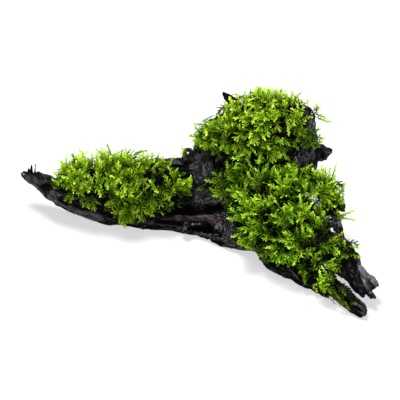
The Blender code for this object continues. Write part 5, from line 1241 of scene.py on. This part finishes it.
def add_sprigs(name, batch, growth, rng, tree, shells):
    toward = -VIEW_FORWARD
    for x0, y0, x1, y1, lift, spread, tone in SPRIGS.get(name, []):
        first, last = seen(x0, y0), seen(x1, y1)
        out = met(shells, first)
        bark = met([tree], first)
        if out is not None and (bark is None or out[2] < bark[2] - 1.0):
            leave = out[0] + VIEW_FORWARD * 1.5
            root, normal, _ = bark_under(tree, leave)
        elif bark is not None:
            root, normal = bark[0], bark[1]
            leave = root + normal * 1.0
        else:
            root, normal = closest_bark(tree, first)
            leave = root + normal * 1.0
        depth = ((leave - VIEW_EYE) * VIEW_FORWARD).sum()
        end = met(shells + [tree], last)
        if end is not None:
            end_depth = ((end[0] - VIEW_EYE) * VIEW_FORWARD).sum()
            depth = min(end_depth, depth + 6.0) if abs(end_depth - depth) < 16 else depth
        tip = VIEW_EYE + last * (depth - lift) / (last * VIEW_FORWARD).sum()
        # the shoot leaves the bark, comes out where it is first seen and runs on to its tip
        span = np.linalg.norm(tip - leave)
        hidden = np.linalg.norm(leave - root)
        axis = np.concatenate([np.linspace(root - normal * 0.4, leave, 6)[:-1], bezier((leave, leave + (tip - leave) * 0.35 + toward * span * 0.10, tip - (tip - leave) * 0.3 + toward * span * 0.10, tip), 20)])
        for _ in range(2):
            axis[1:-1] = (axis[:-2] + axis[1:-1] * 2 + axis[2:]) / 4
        facing = unit(toward + 0.5 * normal + rng.normal(0, 0.12, 3))
        hue = float(np.clip(rng.normal(0.35 + 0.35 * tone, 0.15), 0.05, 0.93))
        bare = float(np.clip(hidden / (hidden + span), 0.05, 0.6))
        size = 0.95 if spread >= 0.5 else 0.80
        frond_on(batch, growth, rng, axis, facing, tone, hue, size, bare, spread, 0.10)
    for places, tone in STEMS.get(name, []):
        line = []
        root, normal = None, None
        first = met([tree], seen(*places[0]))
        if first is None:
            root, normal = closest_bark(tree, seen(*places[0]))
        else:
            root, normal = first[0], first[1]
        depth = ((root - VIEW_EYE) * VIEW_FORWARD).sum() - 1.5
        for across, down in places:
            way = seen(across, down)
            line.append(VIEW_EYE + way * depth / (way * VIEW_FORWARD).sum())
        line = np.array(line)
        fine = np.linspace(0, len(line) - 1, 6 * (len(line) - 1) + 1)
        line = np.stack([np.interp(fine, np.arange(len(line)), line[:, c]) for c in range(3)], -1)
        for _ in range(6):
            line[1:-1] = (line[:-2] + line[1:-1] * 2 + line[2:]) / 4
        axis = np.concatenate([[root - normal * 0.4], line])
        frond_on(batch, growth, rng, axis, unit(toward + 0.3 * normal), tone, 0.5, 0.8, 0.25, 0.22, 0.1)


def make_moss(solid):
    tree = bark_tree(solid)
    shells = {}
    for name in CUSHIONS:
        corners, _, _ = surface_of(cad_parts["moss_" + name])
        flat = corners.reshape(-1, 3)
        shells[name] = BVHTree.FromPolygons(flat.tolist(), np.arange(len(flat)).reshape(-1, 3).tolist())
    made = []
    for seed, (name, settings) in enumerate(CUSHIONS.items(), 1):
        others = [shell for other, shell in shells.items() if other != name]
        piece, count = make_cushion(name, settings, tree, others, 100 + seed)
        made.append((name, piece))
    return made


def moss_material(name, deep):
    """Leaves by their place in the palette: brown stems, dark green bases and bright yellow-green tips, some shoots old
    and olive, a little translucent. The place in the palette also carries painted light and shade from the fronds'
    tone.
    """
    material, tree, shader = make_material(name)
    palette = node(tree, "ShaderNodeUVMap", uv_map="OFBake")
    split = node(tree, "ShaderNodeSeparateXYZ")
    tree.links.new(palette.outputs["UV"], split.inputs["Vector"])

    def ramp(stops):
        made = node(tree, "ShaderNodeValToRGB")
        made.color_ramp.interpolation = "LINEAR"
        items = made.color_ramp.elements
        items[0].position, items[0].color = stops[0][0], stops[0][1] + (1.0,)
        items[1].position, items[1].color = stops[-1][0], stops[-1][1] + (1.0,)
        for position, colour in stops[1:-1]:
            item = items.new(position)
            item.color = colour + (1.0,)
        tree.links.new(split.outputs["X"], made.inputs["Fac"])
        return made.outputs["Color"]

    cool = ramp([(0.0, (0.010, 0.005, 0.002)), (0.14, (0.024, 0.014, 0.003)), (0.22, (0.008, 0.018, 0.001)), (0.40, (0.030, 0.092, 0.002)), (0.60, (0.120, 0.300, 0.005)), (0.78, (0.310, 0.580, 0.020)), (0.90, (0.540, 0.800, 0.085)), (1.0, (0.800, 0.940, 0.300))])
    warm = ramp([(0.0, (0.018, 0.008, 0.002)), (0.14, (0.042, 0.022, 0.004)), (0.22, (0.017, 0.024, 0.001)), (0.40, (0.060, 0.108, 0.002)), (0.60, (0.195, 0.345, 0.004)), (0.78, (0.430, 0.650, 0.018)), (0.90, (0.690, 0.870, 0.090)), (1.0, (0.900, 0.970, 0.320))])
    old = ramp([(0.0, (0.012, 0.006, 0.002)), (0.22, (0.020, 0.012, 0.003)), (0.40, (0.075, 0.058, 0.010)), (0.60, (0.185, 0.180, 0.022)), (0.78, (0.340, 0.390, 0.045)), (1.0, (0.600, 0.640, 0.180))])
    colour = mixed(tree, ranged(tree, split.outputs["Y"], 0.15, 0.85), cool, warm)
    colour = mixed(tree, ranged(tree, split.outputs["Y"], 0.95, 0.99), colour, old)
    tree.links.new(colour, shader.inputs["Base Color"])
    shader.inputs["Roughness"].default_value = 0.5
    shader.inputs["Specular IOR Level"].default_value = 0.06
    through = node(tree, "ShaderNodeBsdfTranslucent")
    tree.links.new(colour, through.inputs["Color"])
    blend = node(tree, "ShaderNodeMixShader")
    blend.inputs[0].default_value = 0.33
    tree.links.new(shader.outputs[0], blend.inputs[1])
    tree.links.new(through.outputs[0], blend.inputs[2])
    output = tree.nodes["Material Output"]
    tree.links.new(blend.outputs[0], output.inputs["Surface"])
    return material


# ---------------------------------------------------------------- materials
def make_material(name):
    material = bpy.data.materials.new(name)
    material.use_nodes = True
    return material, material.node_tree, material.node_tree.nodes["Principled BSDF"]


def node(tree, kind, **settings):
    made = tree.nodes.new(kind)
    for key, value in settings.items():
        setattr(made, key, value)
    return made


def noise_node(tree, vector, scale, detail=3.0, rough=0.55):
    made = node(tree, "ShaderNodeTexNoise")
    made.inputs["Scale"].default_value = scale
    made.inputs["Detail"].default_value = detail
    made.inputs["Roughness"].default_value = rough
    tree.links.new(vector, made.inputs["Vector"])
    return made.outputs["Fac"]


def scaled_vector(tree, vector, scale):
    made = node(tree, "ShaderNodeMapping")
    made.inputs["Scale"].default_value = scale
    tree.links.new(vector, made.inputs["Vector"])
    return made.outputs["Vector"]


def value_of(tree, operation, a, b=0.0, clamp=False):
    made = node(tree, "ShaderNodeMath", operation=operation, use_clamp=clamp)
    for socket, value in zip(made.inputs, (a, b)):
        if isinstance(value, (int, float)):
            socket.default_value = value
        else:
            tree.links.new(value, socket)
    return made.outputs[0]


def ranged(tree, value, low, high, to_low=0.0, to_high=1.0):
    made = node(tree, "ShaderNodeMapRange")
    made.interpolation_type = "SMOOTHSTEP"
    for key, number in (("From Min", low), ("From Max", high), ("To Min", to_low), ("To Max", to_high)):
        made.inputs[key].default_value = number
    tree.links.new(value, made.inputs["Value"])
    return made.outputs["Result"]


def mixed(tree, factor, a, b):
    made = node(tree, "ShaderNodeMix", data_type="RGBA")
    for socket, value in ((made.inputs[0], factor), (made.inputs[6], a), (made.inputs[7], b)):
        if isinstance(value, (int, float)):
            socket.default_value = value
        elif isinstance(value, tuple):
            socket.default_value = value + (1.0,)
        else:
            tree.links.new(value, socket)
    return made.outputs[2]


def wood_material(name, dark, middle, pale, roughness):
    """Damp, weathered wood: nearly black in the cracks and hollows, as painted shade, with grey fibres that stand up,
    partly painted highlight, and warm brown where it is worn.
    """
    material, tree, shader = make_material(name)
    grain = node(tree, "ShaderNodeAttribute", attribute_name="grain").outputs["Vector"]
    tone_node = node(tree, "ShaderNodeAttribute", attribute_name="tone")
    split = node(tree, "ShaderNodeSeparateColor")
    tree.links.new(tone_node.outputs["Color"], split.inputs["Color"])
    warm, grey, hollow = split.outputs[0], split.outputs[1], split.outputs[2]
    rust = tone_node.outputs["Alpha"]
    place = node(tree, "ShaderNodeTexCoord").outputs["Object"]
    fibre = noise_node(tree, scaled_vector(tree, grain, (0.10, 0.62, 0.62)), 1.0, 2.0, 0.5)
    hair = noise_node(tree, scaled_vector(tree, grain, (0.2, 1.3, 1.3)), 1.0, 2.0, 0.5)
    speck = noise_node(tree, place, 480.0, 2.0, 0.5)
    cloud = noise_node(tree, place, 130.0, 3.0, 0.5)
    body = mixed(tree, ranged(tree, fibre, 0.36, 0.68), dark, middle)
    body = mixed(tree, ranged(tree, cloud, 0.35, 0.7, 0.0, 0.5), body, dark)
    brown = mixed(tree, ranged(tree, hair, 0.35, 0.7), (0.012, 0.0075, 0.005), (0.058, 0.034, 0.023))
    body = mixed(tree, warm, body, brown)
    # the pale mask brings the greys: pale weathered wood in part, and painted highlight and sheen
    greys = mixed(tree, ranged(tree, hair, 0.3, 0.72), tuple(0.35 * c for c in pale), pale)
    body = mixed(tree, value_of(tree, "MULTIPLY", grey, ranged(tree, fibre, 0.3, 0.6, 0.35, 1.0)), body, greys)
    rusty = mixed(tree, ranged(tree, speck, 0.35, 0.65), (0.022, 0.010, 0.004), (0.11, 0.050, 0.016))
    body = mixed(tree, rust, body, rusty)
    # painted shade: the dark mask takes the colour nearly to black in the cracks, hollows and under the moss, and in
    # the wood's own dark blotches
    body = mixed(tree, value_of(tree, "MULTIPLY", hollow, 0.95), body, (0.0012, 0.0011, 0.0011))
    # wrinkles: thin lines where a stretched noise passes its middle value; the patch is darkened and the lines take a
    # painted bluish sheen
    growth = node(tree, "ShaderNodeSeparateXYZ")
    tree.links.new(node(tree, "ShaderNodeAttribute", attribute_name="growth").outputs["Vector"], growth.inputs["Vector"])
    wrinkle_sheen, knot, ring = growth.outputs
    lines = []
    for turn, size in (((0.5, 0.3, 0.9), 360.0), ((0.2, 0.7, -0.7), 470.0)):
        turned = node(tree, "ShaderNodeMapping")
        turned.inputs["Rotation"].default_value = turn
        turned.inputs["Scale"].default_value = (1.0, 0.38, 0.8)
        tree.links.new(place, turned.inputs["Vector"])
        wave = noise_node(tree, turned.outputs["Vector"], size, 1.0, 0.5)
        away = value_of(tree, "ABSOLUTE", value_of(tree, "SUBTRACT", wave, 0.5))
        lines.append(ranged(tree, away, 0.0, 0.042, 1.0, 0.0))
    wrinkle_sheen_lines = value_of(tree, "MULTIPLY", value_of(tree, "MAXIMUM", lines[0], value_of(tree, "MULTIPLY", lines[1], 0.7)), wrinkle_sheen)
    body = mixed(tree, value_of(tree, "MULTIPLY", wrinkle_sheen, 0.55), body, dark)
    body = mixed(tree, value_of(tree, "MULTIPLY", wrinkle_sheen_lines, 0.9), body, (0.085, 0.089, 0.107))
    # the growth lines around the knot, carved in relief: painted shade in their troughs and a painted bluish highlight
    # on their crests
    wave = value_of(tree, "SINE", value_of(tree, "ADD", value_of(tree, "MULTIPLY", ring, 2 * math.pi / KNOT[3]), math.pi / 2 - 0.8 * 2 * math.pi / KNOT[3]))
    body = mixed(tree, value_of(tree, "MULTIPLY", knot, ranged(tree, wave, -0.8, 0.0, 0.9, 0.0)), body, (0.002, 0.0019, 0.002))
    crest = value_of(tree, "MULTIPLY", value_of(tree, "MULTIPLY", knot, ranged(tree, wave, 0.25, 0.9)), ranged(tree, cloud, 0.38, 0.58, 0.25, 1.0))
    body = mixed(tree, value_of(tree, "MULTIPLY", crest, 0.85), body, (0.085, 0.088, 0.104))
    tree.links.new(body, shader.inputs["Base Color"])
    gloss = value_of(tree, "ADD", ranged(tree, speck, 0.3, 0.7, -0.06, 0.10), ranged(tree, cloud, 0.35, 0.65, roughness - 0.06, roughness + 0.08))
    gloss = value_of(tree, "ADD", gloss, value_of(tree, "MULTIPLY", hollow, 0.35), clamp=True)
    tree.links.new(gloss, shader.inputs["Roughness"])
    shine = value_of(tree, "MULTIPLY", ranged(tree, hollow, 0.10, 0.80, 0.46, 0.02), ranged(tree, hair, 0.32, 0.66, 0.30, 1.0))
    shine = value_of(tree, "MULTIPLY", shine, ranged(tree, warm, 0.10, 0.60, 1.0, 0.15))
    tree.links.new(shine, shader.inputs["Specular IOR Level"])
    relief = value_of(tree, "ADD", value_of(tree, "MULTIPLY", fibre, 0.8), value_of(tree, "MULTIPLY", hair, 0.45))
    relief = value_of(tree, "ADD", relief, value_of(tree, "MULTIPLY", speck, 0.30))
    relief = value_of(tree, "ADD", relief, value_of(tree, "MULTIPLY", wrinkle_sheen_lines, 0.35))
    relief = value_of(tree, "ADD", relief, value_of(tree, "MULTIPLY", crest, 0.25))
    bump = node(tree, "ShaderNodeBump")
    bump.inputs["Strength"].default_value = 1.0
    bump.inputs["Distance"].default_value = 0.0009
    tree.links.new(relief, bump.inputs["Height"])
    tree.links.new(bump.outputs["Normal"], shader.inputs["Normal"])
    return material


# ---------------------------------------------------------------- camera, light and floor
def make_camera():
    target, rise = Vector(VIEW_TARGET - CENTRE) * MM, VIEW_RISE
    camera = bpy.data.objects.new("camera", bpy.data.cameras.new("camera"))
    bpy.context.scene.collection.objects.link(camera)
    camera.location = target + Vector((0, -math.cos(rise), math.sin(rise))) * VIEW_DISTANCE * MM
    camera.rotation_euler = (target - camera.location).to_track_quat("-Z", "Y").to_euler()
    camera.data.lens = VIEW_LENS
    camera.data.sensor_width = 36.0
    camera.data.clip_start = 0.01
    camera.data.clip_end = 20.0
    bpy.context.scene.camera = camera


def area_light(name, place, aim, size, power, colour=(1.0, 1.0, 1.0)):
    light = bpy.data.lights.new(name, "AREA")
    light.shape = "DISK"
    light.size = size
    light.energy = power
    light.color = colour
    made = bpy.data.objects.new(name, light)
    bpy.context.scene.collection.objects.link(made)
    made.location = place
    made.rotation_euler = (Vector(aim) - Vector(place)).to_track_quat("-Z", "Y").to_euler()


def make_stage():
    world = bpy.data.worlds.new("studio")
    world.use_nodes = True
    world.node_tree.nodes["Background"].inputs["Color"].default_value = (0.95, 0.975, 1.0, 1.0)
    world.node_tree.nodes["Background"].inputs["Strength"].default_value = 0.19
    bpy.context.scene.world = world
    area_light("key", (-0.14, 0.06, 0.85), (0, 0, 0.02), 0.32, 18.0, (1.0, 0.99, 0.96))
    area_light("front", (0.25, -0.75, 0.55), (0, 0, 0.03), 0.5, 4.5, (0.93, 0.96, 1.0))
    target = bmesh.new()
    bmesh.ops.create_grid(target, x_segments=1, y_segments=1, size=4.0)
    mesh = bpy.data.meshes.new("floor")
    target.to_mesh(mesh)
    target.free()
    floor = new_object("floor", mesh)
    floor.location.z = -0.0002
    material, tree, shader = make_material("floor")
    cloud = noise_node(tree, node(tree, "ShaderNodeTexCoord").outputs["Object"], 3.0, 2.0, 0.5)
    tree.links.new(mixed(tree, cloud, (0.20, 0.20, 0.20), (0.22, 0.22, 0.22)), shader.inputs["Base Color"])
    shader.inputs["Emission Color"].default_value = (1.0, 1.0, 1.0, 1.0)
    shader.inputs["Emission Strength"].default_value = 0.60
    shader.inputs["Roughness"].default_value = 0.8
    shader.inputs["Specular IOR Level"].default_value = 0.1
    mesh.materials.append(material)
    bpy.context.scene.view_settings.view_transform = "Standard"
    bpy.context.scene.view_settings.look = "None"


DEEP = {"arm_hanging", "lobe_back", "trunk_upper", "root_back", "prong_fringe"}
WOOD_SLOTS = {"driftwood_lower_prong": "wood_pale", "driftwood_end_prong": "wood_pale"}


def main():
    make_camera()
    make_stage()
    dark_wood = wood_material("wood", (0.0045, 0.0042, 0.0045), (0.012, 0.0108, 0.0112), (0.050, 0.052, 0.060), 0.30)
    pale_wood = wood_material("wood_pale", (0.006, 0.0055, 0.0056), (0.018, 0.0165, 0.0165), (0.15, 0.15, 0.155), 0.42)
    pieces, solid = finished_wood()
    for cad_name, piece in pieces:
        slot = WOOD_SLOTS.get(cad_name, "wood")
        piece.name = "bark_" + cad_name.replace("driftwood_", "")
        piece.data.materials.clear()
        piece.data.materials.append(pale_wood if slot == "wood_pale" else dark_wood)
        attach(piece, "root")
        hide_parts(cad_name)
    bright, deep = moss_material("moss_bright", False), moss_material("moss_deep", True)
    for name, piece in make_moss(solid):
        slot = "moss_deep" if name in DEEP else "moss_bright"
        piece.data.materials.append(deep if name in DEEP else bright)
        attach(piece, "root")
        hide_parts("moss_" + name)
    bpy.data.meshes.remove(solid)


main()
